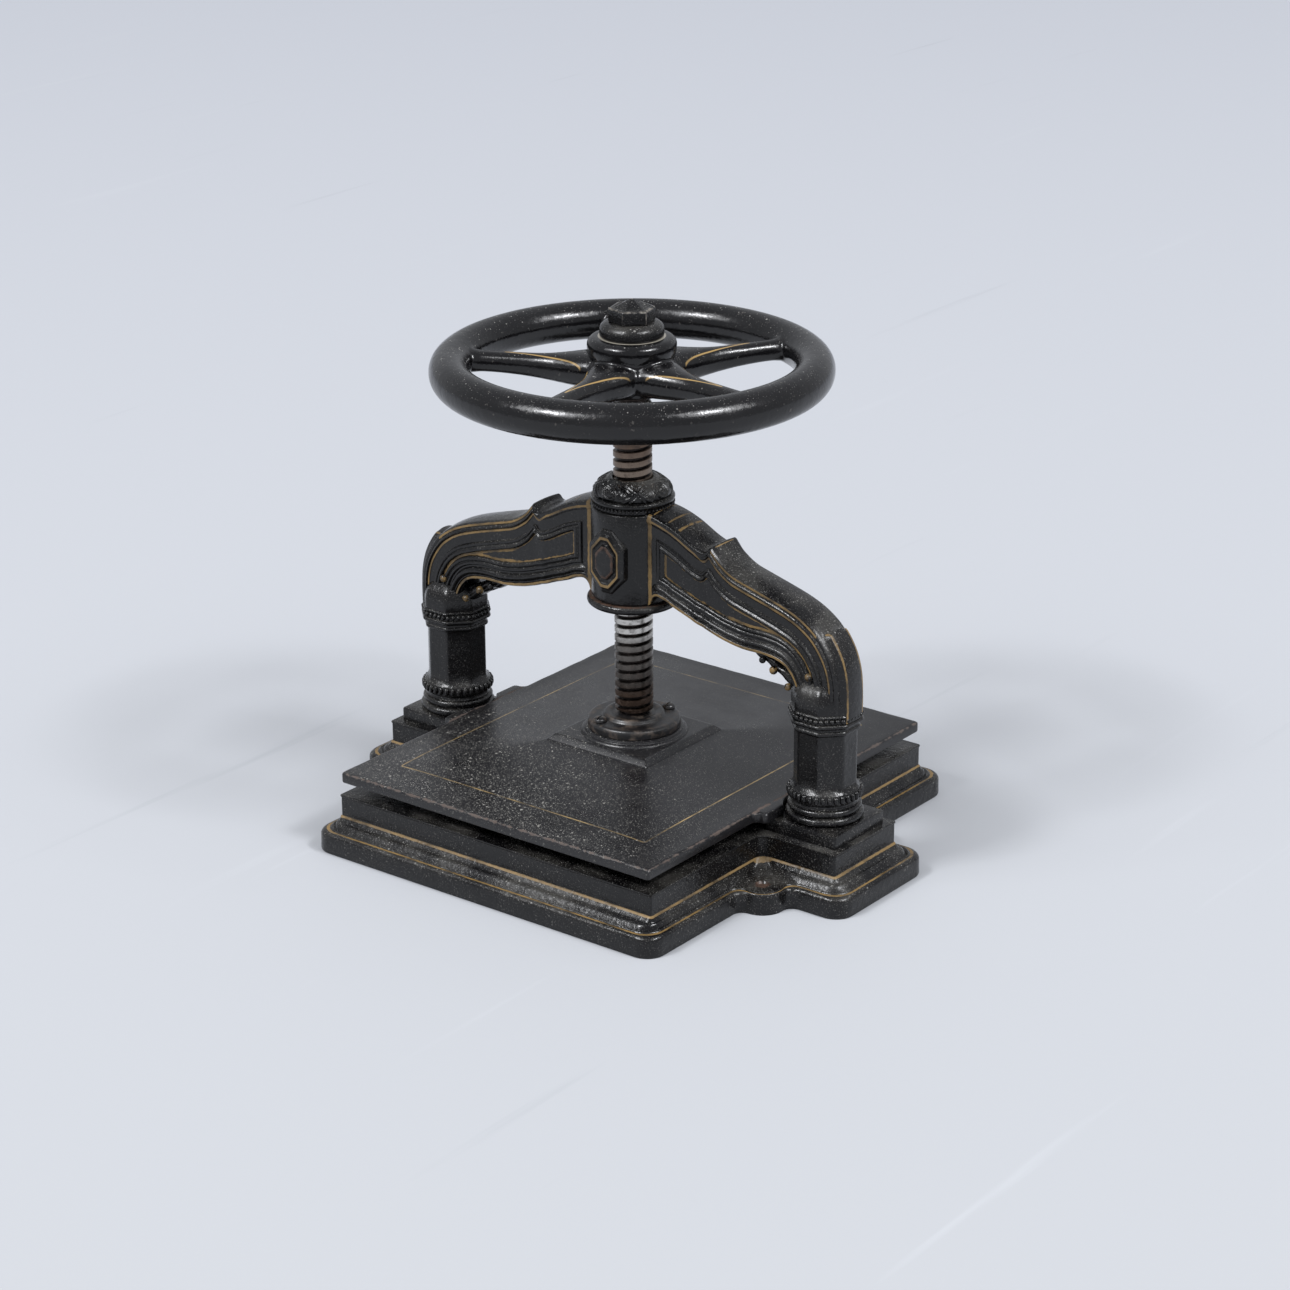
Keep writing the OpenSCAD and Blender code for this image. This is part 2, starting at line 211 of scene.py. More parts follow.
def all_four(quarter):
    right_half = np.concatenate([quarter[::-1] * (1, -1), quarter])
    return np.concatenate([right_half, right_half[::-1] * (-1, 1)])


def level(outline, z):
    return np.column_stack([outline, np.broadcast_to(z, len(outline))])


def circle(r, z, angles):
    """A ring of points round the Z axis; r and z may differ from point to point."""
    return level(np.column_stack([r * np.cos(angles), r * np.sin(angles)]), z)


EAR_X, EAR_Y, EAR_R = 146.5, 57, 15.5
SLAB_X, SLAB_Y, SLAB_LUG_X, SLAB_LUG_Y = 128.5, 149.5, 186, 34
PARTS = (10, 8, 14, 8, 12)       # points along lug corner, fillet, ear, fillet and plate corner


def foot_outline(inset):
    x, y, lx, ly = 140.5 - inset, 165 - inset, 201.5 - inset, 49 - inset
    r, f, corner = EAR_R - inset / 3, 7, 13
    side_y = EAR_Y + math.sqrt((r + f) ** 2 - (x + f - EAR_X) ** 2)
    lug_x = EAR_X + math.sqrt((r + f) ** 2 - (ly + f - EAR_Y) ** 2)
    side_a = math.degrees(math.atan2(side_y - EAR_Y, x + f - EAR_X))
    lug_a = math.degrees(math.atan2(ly + f - EAR_Y, lug_x - EAR_X))
    return all_four(np.concatenate([
        arc(lx - corner, ly - corner, corner, 0, 90, PARTS[0]),
        arc(lug_x, ly + f, f, 270, 180 + lug_a, PARTS[1]),
        arc(EAR_X, EAR_Y, r, lug_a, side_a, PARTS[2]),
        arc(x + f, side_y, f, 180 + side_a, 180, PARTS[3]),
        arc(x - corner, y - corner, corner, 0, 90, PARTS[4]),
    ]))


def slab_outline(inset):
    x, y, lx, ly = SLAB_X - inset, SLAB_Y - inset, SLAB_LUG_X - inset, SLAB_LUG_Y - inset
    f, corner = 8 + inset, 1.4
    return all_four(np.concatenate([
        arc(lx - corner, ly - corner, corner, 0, 90, PARTS[0]),
        arc(x + f, ly + f, f, 270, 180, sum(PARTS[1:4])),
        arc(x - corner, y - corner, corner, 0, 90, PARTS[4]),
    ]))


in_ear = all_four(np.column_stack([
    np.concatenate([np.zeros(PARTS[0]), np.linspace(0, 1, PARTS[1]), np.ones(PARTS[2]),
                    np.linspace(1, 0, PARTS[3]), np.zeros(PARTS[4])]),
    np.zeros(sum(PARTS)),
]))[:, 0]
in_ear = np.abs(in_ear) ** 2 * (3 - 2 * np.abs(in_ear))

rings, gilt = [], []
for inset, z, gold in ((1.2, 0, 0), (0.3, 0.3, 0), (0, 1.4, 0), (0.1, 7, 0), (0.2, 11.6, 0), (0.6, 12.8, 0),
                       (1.4, 13.8, 0), (2.4, 14.3, 0), (3.1, 14.4, 1), (4.0, 14.4, 1), (4.5, 14.5, 0.4),
                       (4.8, 15.1, 0), (5.4, 15.4, 0), (6.0, 15.1, 0)):
    rings.append(level(foot_outline(inset), z))
    gilt.append(np.full(len(rings[-1]), gold))
for w in (0, 0.06, 0.13, 0.2, 0.28, 0.37, 0.46, 0.55, 0.64, 0.73, 0.82, 0.89, 0.95, 1):
    ogee = 14.7 + 3.7 * math.sin(math.pi * w) if w < 0.5 else 18.4 + 3.4 * (1 - math.cos(math.pi * (w - 0.5)))
    seat = 14.9 + 6.9 * max(0, (w - 0.58) / 0.42) ** 2.4
    outline = foot_outline(6.6) * (1 - w) + slab_outline(-0.5) * w
    rings.append(level(outline, ogee + (seat - ogee) * in_ear))
    gilt.append(np.full(len(outline), 1 if w > 0.93 else 0))
for inset, z, gold in ((-0.1, 22.1, 1), (0, 22.5, 0.3), (0, 23.2, 0), (0, 30, 0), (0, 35.2, 0), (-0.35, 35.5, 0),
                       (-0.5, 36.1, 0), (-0.3, 36.7, 0), (0.4, 37, 0), (1.1, 36.8, 0), (2, 37, 0)):
    rings.append(level(slab_outline(inset), z))
    gilt.append(np.full(len(rings[-1]), gold))
points, faces = loft(rings)


def boxes_and_rods(name, boxes, rods):
    """A cutter made of boxes (lowest corner, highest corner) and upright rods (x, y, r low, r high, z0, z1)."""
    tool = bmesh.new()
    for low, high in boxes:
        size = [b - a for a, b in zip(low, high)]
        middle = Matrix.Translation([(a + b) / 2 * MM for a, b in zip(low, high)])
        bmesh.ops.create_cube(tool, size=1, matrix=middle @ Matrix.Diagonal([s * MM for s in size] + [1]))
    for x, y, r_low, r_high, z0, z1 in rods:
        bmesh.ops.create_cone(tool, cap_ends=True, segments=32, radius1=r_low * MM, radius2=r_high * MM,
                              depth=(z1 - z0) * MM, matrix=Matrix.Translation((x * MM, y * MM, (z0 + z1) / 2 * MM)))
    mesh = bpy.data.meshes.new(name)
    tool.to_mesh(mesh)
    tool.free()
    cutter = bpy.data.objects.new(name, mesh)
    bpy.context.scene.collection.objects.link(cutter)
    return cutter


def cut(made, cutter):
    """Takes the cutter's shape away from a piece."""
    bite = made.modifiers.new("cut", "BOOLEAN")
    bite.operation = "DIFFERENCE"
    bite.solver = "EXACT"
    bite.object = cutter
    bpy.context.view_layer.update()
    apply_modifiers(made)
    bpy.data.objects.remove(cutter)


def speckle(tree, place, sizes, rare, most, share=None):
    """Round specks of dust, from (spacing in mm, largest radius as a part of it) pairs."""
    specks = 0
    for spacing_mm, size in sizes:
        cells = add(tree, "TexVoronoi", {"Vector": place, "Scale": 1 / (spacing_mm * MM)})
        lot = add(tree, "SeparateColor", {0: cells.outputs["Color"]})
        if share:
            lot = add(tree, "Math", {0: lot, 1: share}, operation="MULTIPLY")
        reach = add(tree, "MapRange", {"Value": lot, "From Min": rare, "From Max": most, "To Max": size})
        speck = add(tree, "Math", {0: cells.outputs["Distance"], 1: reach}, operation="LESS_THAN")
        specks = add(tree, "Math", {0: speck, 1: specks}, operation="MAXIMUM")
    return specks


def surface(tree, bumps, **inputs):
    """Ends a material: one shader over bumps given as height, strength and depth in mm."""
    links = {name.replace("_", " "): value for name, value in inputs.items()}
    for height, strength, depth_mm in bumps:
        bump = {"Height": height, "Strength": strength, "Distance": depth_mm * MM}
        if "Normal" in links:
            bump["Normal"] = links["Normal"]
        links["Normal"] = add(tree, "Bump", bump)
    add(tree, "OutputMaterial", {"Surface": add(tree, "BsdfPrincipled", links)})


japan, tree = new_material("stoved_black_japan")
# Asphaltum varnish stoved on cast iron: deep warm black and glossy, with the casting's fine
# pits showing through, dust lying on what faces up, and lines of gold size paint rubbed thin.
place = add(tree, "TexCoord").outputs["Object"]
facing = add(tree, "SeparateXYZ", {0: add(tree, "NewGeometry").outputs["Normal"]}).outputs[2]
upward = add(tree, "MapRange", {"Value": facing, "From Min": 0.05, "From Max": 0.95})
PIT_MM, LUMP_MM, CLOUD_MM = 0.9, 3.4, 28       # casting pits, uneven skin, and thin or thick varnish
pits, lumps, clouds = [add(tree, "TexNoise", {"Vector": place, "Scale": 1 / (size * MM), "Detail": detail})
                       for size, detail in ((PIT_MM, 3), (LUMP_MM, 4), (CLOUD_MM, 5))]
black = add(tree, "Mix", {"Factor": clouds, "A": linear("#040405"), "B": linear("#0e0d0e")}, data_type="RGBA")
# Dust film: grey lint that settles more where the varnish clouds
film = add(tree, "MapRange", {"Value": clouds, "From Min": 0.42, "From Max": 0.72, "To Max": 0.34})
film = add(tree, "Math", {0: film, 1: upward}, operation="MULTIPLY")
dusty = add(tree, "Mix", {"Factor": film, "A": black, "B": linear("#5b5954")}, data_type="RGBA")
# Specks of grit, 0.3 to 0.9 mm across
specks = speckle(tree, place, ((1.4, 0.2), (2.6, 0.2), (6.5, 0.12)), 0.35, 1)
low_down = add(tree, "MapRange", {"Value": add(tree, "SeparateXYZ", {0: place}).outputs[2], "From Min": 35 * MM,
                                  "From Max": 110 * MM, "To Min": 0.32, "To Max": 0.08})
settled = add(tree, "MapRange", {"Value": facing, "From Min": -0.1, "From Max": 0.7, "To Min": low_down,
                                 "To Max": 0.8})
lint = add(tree, "TexNoise", {"Vector": place, "Scale": 1 / (0.8 * MM), "Detail": 2})
lint = add(tree, "MapRange", {"Value": lint, "From Min": 0.61, "From Max": 0.69, "To Max": 0.8})
specks = add(tree, "Math", {0: specks, 1: lint}, operation="MAXIMUM")
specks = add(tree, "Math", {0: specks, 1: settled}, operation="MULTIPLY")
drift = add(tree, "MapRange", {"Value": clouds, "From Min": 0.36, "From Max": 0.6, "To Min": 0.3})
specks = add(tree, "Math", {0: specks, 1: drift}, operation="MULTIPLY")
dusty = add(tree, "Mix", {"Factor": specks, "A": dusty, "B": linear("#8d8b86")}, data_type="RGBA")
# Rust where the varnish has gone
rust_mark = add(tree, "Attribute", attribute_name="rust").outputs["Fac"]
rust = add(tree, "Math", {0: rust_mark, 1: lumps}, operation="MULTIPLY")
rust = add(tree, "MapRange", {"Value": rust, "From Min": 0.24, "From Max": 0.46, "To Max": 0.85})
rusty = add(tree, "Mix", {"Factor": rust, "A": dusty, "B": linear("#4e3a2f")}, data_type="RGBA")
# Edges rubbed to grey iron by hands and spanners
worn = add(tree, "Attribute", attribute_name="worn").outputs["Fac"]
worn = add(tree, "Math", {0: worn, 1: lumps}, operation="MULTIPLY")
worn = add(tree, "MapRange", {"Value": worn, "From Min": 0.36, "From Max": 0.6, "To Max": 0.8})
rusty = add(tree, "Mix", {"Factor": worn, "A": rusty, "B": linear("#77726b")}, data_type="RGBA")
# Gold lines, brushed by hand, so their edges wander, and rubbed away in places
gilt_mark = add(tree, "Attribute", attribute_name="gilt").outputs["Fac"]
STROKE_MM, RUB_MM = 3.5, 16                    # wander of the brush, and patches rubbed by cloths
stroke, rub = [add(tree, "TexNoise", {"Vector": place, "Scale": 1 / (size * MM), "Detail": detail})
               for size, detail in ((STROKE_MM, 2), (RUB_MM, 6))]
wander = add(tree, "Math", {0: gilt_mark, 1: stroke}, operation="ADD")
line = add(tree, "MapRange", {"Value": wander, "From Min": 1.02, "From Max": 1.22})
kept = add(tree, "MapRange", {"Value": rub, "From Min": 0.34, "From Max": 0.56, "To Min": 0.25, "To Max": 0.92})
line = add(tree, "Math", {0: line, 1: kept}, operation="MULTIPLY")
gold = add(tree, "Mix", {"Factor": pits, "A": linear("#5f4c2c"), "B": linear("#987c4e")}, data_type="RGBA")
colour = add(tree, "Mix", {"Factor": line, "A": rusty, "B": gold}, data_type="RGBA")
rough = add(tree, "MapRange", {"Value": clouds, "From Min": 0.3, "From Max": 0.75, "To Min": 0.13, "To Max": 0.3})
matt = add(tree, "Math", {0: film, 1: line}, operation="MAXIMUM")
matt = add(tree, "Math", {0: matt, 1: rust}, operation="MAXIMUM")
rough = add(tree, "Math", {0: matt, 1: 0.28, 2: rough}, operation="MULTIPLY_ADD")
surface(tree, ((lumps, 0.8, 0.42), (pits, 0.7, 0.15)), Base_Color=colour, Roughness=rough, IOR=1.43)

bed = piece("bed_casting", points, faces, "frame", "japanned_iron", [japan], ["bed"],
            gilt=np.concatenate(gilt), rust=np.zeros(len(points)))
RIB, WALL = 4, 9
pockets = [((sx * RIB if sx > 0 else WALL - SLAB_X, sy * RIB if sy > 0 else WALL - SLAB_Y, -1),
            (SLAB_X - WALL if sx > 0 else -RIB, SLAB_Y - WALL if sy > 0 else -RIB, 25))
           for sx in (-1, 1) for sy in (-1, 1)]
rods = [rod for sx in (-1, 1) for rod in ((sx * 154, 0, 15, 15, -1, 20), (sx * 154, 0, 6.5, 6.5, 5, 45))]
rods += [rod for sx in (-1, 1) for sy in (-1, 1) for rod in (
    (sx * EAR_X, sy * EAR_Y, 3.5, 3.5, -1, 30), (sx * EAR_X, sy * EAR_Y, 3.4, 5.4, 13.6, 16))]
cut(bed, boxes_and_rods("bed_cutter", pockets, rods))
for vertex, mark in zip(bed.data.vertices, bed.data.attributes["rust"].data):
    x, y, z = vertex.co / MM
    mark.value = max(0, 1.3 - math.hypot(abs(x) - EAR_X, abs(y) - EAR_Y) / 7) if z < 17 else 0
finish_piece(bed, "frame", [japan], ["bed"])


# ---- columns --------------------------------------------------------------------------------
# The two columns are cast in one with the arch: a square plinth, turned base mouldings with a
# gadrooned ring, an octagonal shaft, and a beaded capital under a faceted cap.

COLUMN_X = 154
AROUND = np.radians((np.arange(96) + 0.5) * 360 / 96)
EASED_CORNER = 0.985             # how far an octagon's corner reaches, as a part of the full radius


def around(r, z, eight=0.0, angles=AROUND):
    """A level ring of circumradius r, from round (eight = 0) to octagonal with eased corners (1)."""
    off = (np.degrees(angles) + 22.5) % 45 - 22.5
    flats = math.cos(math.radians(22.5)) / np.cos(np.radians(off))
    eased = np.minimum(flats, EASED_CORNER)
    return circle(r * (1 - eight + eight * eased), z, angles)


def bead(centre, size, turn=0.0):
    """One cast bead: an eased ball, longer one way than the other."""
    ball = bmesh.new()
    bmesh.ops.create_icosphere(ball, subdivisions=2, radius=1)
    points = np.array([v.co for v in ball.verts]) * size
    faces = [[v.index for v in f.verts] for f in ball.faces]
    ball.free()
    c, s = math.cos(turn), math.sin(turn)
    points = points @ np.array([[c, s, 0], [-s, c, 0], [0, 0, 1]])
    return points + centre, faces


def together(parts):
    """Joins the points and faces of several closed skins."""
    points, faces, n = [], [], 0
    for p, f in parts:
        points.append(np.asarray(p, float))
        faces += [[i + n for i in face] for face in f]
        n += len(p)
    return np.concatenate(points), faces


def moulded_square(half, z0, z1, ease=1.1):
    """A square block with eased upper edges."""
    def square(h, z):
        corner = 1.6
        side = np.concatenate([arc(sx * (h - corner), sy * (h - corner), corner, a, a + 90, 5)
                               for sx, sy, a in ((1, 1, 0), (-1, 1, 90), (-1, -1, 180), (1, -1, 270))])
        return level(side, z)
    return loft([square(half, z0), square(half, z1 - ease), square(half - 0.3 * ease, z1 - 0.3 * ease),
                 square(half - ease, z1), square(half - 6, z1 + 0.05)])


def swell(z0, z1, r, bulge, n=6):
    """Heights and radii of a half-round moulding."""
    return [((z0 + z1) / 2 - (z1 - z0) / 2 * math.cos(t), r + bulge * math.sin(t)) for t in np.linspace(0,
                                                                                                        math.pi, n)]


column_rings = [around(24.6, 45.6)]
column_rings += [around(r, z) for z, r in swell(46.1, 51.5, 22.9, 2.6, 9)]
column_rings += [around(r, z) for z, r in swell(52.1, 56.5, 21.9, 2.1, 8)]
column_rings += [around(22, 57), around(21.4, 58), around(21.4, 59), around(22.2, 59.7), around(22.6, 60.4)]
column_rings += [around(22.9, z) for z in (61.5, 63.5, 65.5)]
column_rings += [around(22.6, 66.6), around(22, 67.3, 0.1), around(21.5, 68.2, 0.35), around(21, 69.6, 0.8)]
column_rings += [around(20.8, z, 1) for z in (70.8, 76, 88, 98, 105.6)]
column_rings += [around(21, 106.4, 1), around(21.9, 107, 1), around(22.8, 107.8, 1), around(23, 108.7, 1),
                 around(22.7, 109.6, 1), around(21.9, 110.2, 1), around(21.8, 111.4, 1), around(22.6, 112, 1)]
column_rings += [around(r, z, 1) for z, r in swell(112.4, 115.6, 23, 2, 7)]
column_rings += [around(22.9, 116, 1), around(22.9, 119.4, 1), around(23.7, 119.9, 1), around(23.9, 120.5, 1),
                 around(23.4, 121.1, 1), around(22.8, 121.4, 1)]
column_rings += [around(r, z, 1) for z, r in ((122.5, 23), (125, 23.1), (128, 23), (131, 22.4), (133.8, 21.3),
                                              (136.2, 19.6), (138.4, 17.3), (140.2, 14.4), (141.4, 10.8),
                                              (142, 6.5))]
column_parts = [moulded_square(27.5, 36.4, 45.9), loft(column_rings)]
SHELLS = 34                      # gadroons round the base ring
for i in range(SHELLS):
    a = (i + 0.5) * 2 * math.pi / SHELLS
    column_parts.append(bead((23.1 * math.cos(a), 23.1 * math.sin(a), 63.5), (1.7, 1.75, 3.1), a))
BEADS_A_SIDE = 5
side_r = 23.4 * math.cos(math.pi / 8)
side_half = 23.4 * math.sin(math.pi / 8)
for side in range(8):
    a = side * math.pi / 4
    for i in range(BEADS_A_SIDE):
        along = side_half * ((i + 0.5) * 2 / BEADS_A_SIDE - 1)
        column_parts.append(bead((side_r * math.cos(a) - along * math.sin(a),
                                  side_r * math.sin(a) + along * math.cos(a), 117.6), (1.7, 1.7, 1.7)))
points, faces = together(column_parts)
for name, side in (("column_right", 1), ("column_left", -1)):
    piece(name, points * (side, 1, 1) + (side * COLUMN_X, 0, 0), faces, "frame", "japanned_iron", [japan],
          gilt=np.zeros(len(points)), rust=np.zeros(len(points)))


# ---- arms -----------------------------------------------------------------------------------
# Each arm of the arch sweeps from the boss over to its column. Its two faces carry a cast reed
# under the top edge, another along the bottom, and a long tongue panel in a double moulding.

def through(points, steps):
    """A smooth line through points, with a number of steps for each span."""
    points = np.asarray(points, float)
    padded = np.concatenate([[2 * points[0] - points[1]], points, [2 * points[-1] - points[-2]]])
    line = []
    for i, n in enumerate(steps):
        a, b, c, d = padded[i:i + 4]
        for t in np.arange(n) / n:
            line.append(0.5 * (2 * b + (c - a) * t + (2 * a - 5 * b + 4 * c - d) * t ** 2
                               + (3 * b - a - 3 * c + d) * t ** 3))
    return np.array(line + [points[-1]])


# Top edge (x, z) and the bottom edge opposite it, from inside the boss out and down to the column
edges = [(14, 226.3, 14, 162), (23.4, 225.3, 23.4, 163.2), (26, 224.9, 26, 167.4), (30, 224.1, 30, 169.8),
         (38.5, 221.6, 37.5, 168.4), (47, 218, 45, 165), (58, 212.2, 55, 161.5), (66, 209.2, 62, 158.6),
         (70, 210.2, 65, 157.6), (72.5, 212.6, 67, 157), (75, 210.2, 69.4, 156), (80, 205, 74, 154.4),
         (90, 198.8, 84, 151.6), (104, 194.6, 98, 149.4), (120, 190.2, 113, 149.3), (134, 185.8, 124, 148),
         (146, 180.2, 131, 145.4), (157, 171.8, 136, 140.5), (166, 159, 139.2, 134.5), (170.3, 146, 140.6, 129),
         (171.5, 132, 140.3, 122.5), (171.5, 116, 140, 115)]
spans = [3, 9, 6, 26, 9, 8, 7, 6, 5, 5, 6, 8, 10, 11, 10, 9, 9, 9, 8, 8, 6]
guide = through(edges, spans)
top_line, bottom_line = guide[:, :2], guide[:, 2:]
run = np.concatenate([[0], np.cumsum(np.linalg.norm(np.diff(top_line, axis=0), axis=1))])


def outward(line, sign):
    """Unit normals of a line, pointing out of the arm."""
    along = np.gradient(line, axis=0)
    along /= np.linalg.norm(along, axis=1)[:, None]
    return sign * np.column_stack([-along[:, 1], along[:, 0]])


def stepped(x, pairs):
    """A profile given as distance and height, read off at x."""
    d, h = zip(*pairs)
    return np.interp(x, d, h)


def ease(x, a, b):
    t = np.clip((x - a) / (b - a), 0, 1)
    return t * t * (3 - 2 * t)


TONGUE_TOP, TONGUE_LOW, TONGUE_END = 20.5, 17.5, 37.2       # tongue panel: from top edge, bottom edge and screw
STEP = 0.5
above = np.arange(0, TONGUE_TOP + 1.6, STEP)
below = np.arange(0, TONGUE_LOW + 1.6, STEP)[::-1]
moulding = ((-9, 0), (0, 0), (0.5, 1.2), (1.1, 1.9), (1.9, 2.2), (2.9, 1.9), (3.5, 1.1), (4.0, 0.9), (4.4, 1.3),
            (5.2, 1.6), (6.0, 1.4), (6.6, 0.5), (7.0, 0), (90, 0))
top_reed = ((0, -1.2), (0.5, -0.3), (1.0, 0.3), (2.6, 0.4), (3.1, 0.1), (3.6, 1.0), (4.3, 1.6), (5.0, 1.6),
            (5.6, 1.0), (6.0, 0.3), (6.5, 0.5), (7.5, 0.5), (8.2, 0), (90, 0))
top_plain = ((0, -1.2), (0.5, -0.3), (1.0, 0.3), (2.0, 0.7), (5.0, 0.7), (5.6, 0.5), (6.4, 0), (90, 0))
low_reed = ((0, -1.7), (0.5, -0.4), (1.0, 0.4), (2.6, 0.5), (3.0, 0.1), (3.5, 0.9), (4.0, 0.9), (4.5, 0.3),
            (5.0, 1.0), (6.0, 2.0), (7.0, 2.2), (8.0, 1.8), (8.8, 0.8), (9.4, 0), (90, 0))
across = np.array([-0.96, -0.88, -0.79, -0.74, -0.7, -0.62, -0.54, -0.45, -0.3, -0.1])
across = np.concatenate([across, -across[::-1]])
under = np.linspace(-0.9, 0.9, 9)
KNEE = run[np.argmin(np.abs(top_line[:, 0] - 155.5) + (top_line[:, 1] < 160) * 99)]

rings, gilt = [], []
top_out, bottom_out = outward(top_line, 1), outward(bottom_line, -1)
for i, (top, bottom) in enumerate(zip(top_line, bottom_line)):
    width = np.linalg.norm(bottom - top)
    x = (top[0] + bottom[0]) / 2
    squeeze = min(1, (width - 1.2) / (TONGUE_TOP + TONGUE_LOW))
    from_top = np.concatenate([above[:-3] * squeeze, width - below[3:] * squeeze])
    tongue = np.linspace(from_top[len(above) - 4], from_top[len(above) - 3], 8)[1:-1]
    from_top = np.concatenate([from_top[:len(above) - 3], tongue, from_top[len(above) - 3:]])
    a, b = from_top / squeeze, (width - from_top) / squeeze
    spot = top + (bottom - top) * (from_top / width)[:, None]
    d = np.maximum(np.maximum(TONGUE_TOP - a, TONGUE_LOW - b), TONGUE_END - spot[:, 0])
    reeded = ease(top[0], 64, 73)
    h = stepped(d, moulding) + stepped(b, low_reed) * ease(top[0], 24, 34)
    h += stepped(a, top_reed) * reeded + stepped(a, top_plain) * (1 - reeded)
    half = 14.6 - 0.9 * ease(top[0], 62, 78)
    front = np.column_stack([spot[:, 0], -(half + h), spot[:, 1]])

    inner_line = 4.0 + 2.9 * ease(top[0], 60, 70)
    on = lambda value, centre, wide: np.clip(1.6 - np.abs(value - centre) / wide, 0, 1)
    g = on(a, inner_line, 0.75)
    if top[0] > 73 and run[i] < KNEE + 1:
        g = np.maximum(g, on(a, 1.9, 0.75))
    g = np.maximum(g, on(b, 1.9, 0.8) * (top[0] > 25))
    if spot[len(spot) // 2, 1] > 143:
        g = np.maximum(g, on(d, -0.6, 0.75) * (spot[:, 0] > TONGUE_END - 1))
    g = np.maximum(g, on(spot[:, 0], 24.9, 1.5) * (top[0] < 30))

    v = across
    rib = 3.9 * ease(run[i] - KNEE - 4.5 * v * v, 0, 3.2) * (1 - ease(np.abs(v), 0.72, 0.87))
    crown = 1.5 * (1 - v * v) * (1 - 0.6 * ease(top[0], 66, 74) * (1 - ease(top[0], 78, 90)))
    lifted = top + np.outer(crown + rib, top_out[i])
    edge_y = half - 1.2
    upper = np.column_stack([lifted[:, 0], v * edge_y, lifted[:, 1]])
    over = sum(on(top[0], c, 0.6) for c in (26.5, 38, 46.5)) * (np.abs(v) < 0.92)
    over = np.maximum(over, on(top[0], 73.4, 0.3) * (np.abs(v) < 0.75))
    if run[i] > KNEE + 3:
        over = np.maximum(over, on(np.abs(v), 0.66, 0.06))
    w = under
    sunk = bottom + np.outer(0.9 * (1 - w * w), bottom_out[i])
    lower = np.column_stack([sunk[:, 0], w * (half - 1.7), sunk[:, 1]])
    rings.append(np.concatenate([front, lower, (front * (1, -1, 1))[::-1], upper[::-1]]))
    gilt.append(np.concatenate([g, np.zeros(len(w)), g[::-1], over[::-1]]))
arm_points, arm_faces = loft(rings)
gilt = np.concatenate(gilt)

# Scroll under the knee: a small leaf that curls over twice, and gilded balls where it ends
leaf = through([(103, 150.6), (108, 147.4), (113, 145.8), (118, 143.6), (122, 140.6), (127, 138.6),
                (132, 134.6), (136, 130.5), (139, 126)], [4] * 8)
leaf_r = np.interp(np.arange(len(leaf)), [0, 6, 9, 13, 17, 22, 27, 32], [1.2, 4.4, 3.0, 4.6, 3.2, 4.4, 3.4, 2])
ring_a = np.linspace(0, 2 * math.pi, 25)[:-1]
leaf_out = outward(leaf, 1)
leaf_rings = []
for spot, out, r in zip(leaf, leaf_out, leaf_r):
    y = np.sign(np.cos(ring_a)) * np.abs(np.cos(ring_a)) ** 0.6 * 9.6
    lift = np.sin(ring_a) * r
    leaf_rings.append(np.column_stack([spot[0] + out[0] * lift, y, spot[1] + out[1] * lift]))
leaf_part = loft(leaf_rings)
ball_spots = [(112.5, 145.3, 11.6, 2.4), (121.6, 140.6, 12.2, 2.9), (133.6, 132.4, 13.2, 2.5),
              (151, 143.6, 15.4, 2.7)]
ball_parts = [bead((x, side * y, z), (r, r * 0.9, r)) for x, z, y, r in ball_spots for side in (-1, 1)]
parts = [(arm_points, arm_faces), leaf_part] + ball_parts
points, faces = together(parts)
gilt = np.concatenate([gilt, np.zeros(len(leaf_part[0]))]
                      + [np.full(len(p), 0.1 if i < 2 else 0.62) for i, (p, f) in enumerate(ball_parts)])
for name, side in (("arm_right", 1), ("arm_left", -1)):
    piece(name, points * (side, 1, 1), faces, "frame", "japanned_iron", [japan],
          gilt=gilt, rust=np.zeros(len(points)))


# ---- boss -----------------------------------------------------------------------------------
# The drum at the middle of the arch, bored for the nut. A long octagon stands out in steps on its
# front and back, with a gold line round the middle step.

ROUND = np.linspace(0, 2 * math.pi, 145)[:-1]


def turned(profile, angles=ROUND):
    """A turned shape from (radius, height) pairs; closed where it starts and ends on the axis."""
    return loft([circle(r, z, angles) for r, z in profile])


def tube_turned(profile, angles=ROUND):
    """A turned ring with a bore, from a closed loop of (radius, height) pairs."""
    loop = np.asarray(profile, float)
    n, m = len(angles), len(loop)
    points = np.concatenate([np.column_stack([loop[:, 0] * c, loop[:, 0] * s, loop[:, 1]])
                             for c, s in zip(np.cos(angles), np.sin(angles))])
    at = np.arange(n * m).reshape(n, m)
    after = np.roll(at, -1, axis=0)
    faces = np.stack([at, after, np.roll(after, -1, axis=1), np.roll(at, -1, axis=1)], axis=-1)
    return points, faces.reshape(-1, 4).tolist()


BORE_R = 20.05
drum = tube_turned([(BORE_R, 162.6), (26.2, 162.6), (27.1, 163.0), (27.5, 164), (27.5, 180), (27.5, 205),
                    (27.5, 222.8), (27.2, 223.6), (26.6, 224), (BORE_R, 224)])
OCTAGON = np.array([(3.8, 21.2), (13.6, 10.2), (13.6, -10.2), (3.8, -21.2), (-3.8, -21.2), (-13.6, -10.2),
                    (-13.6, 10.2), (-3.8, 21.2)])


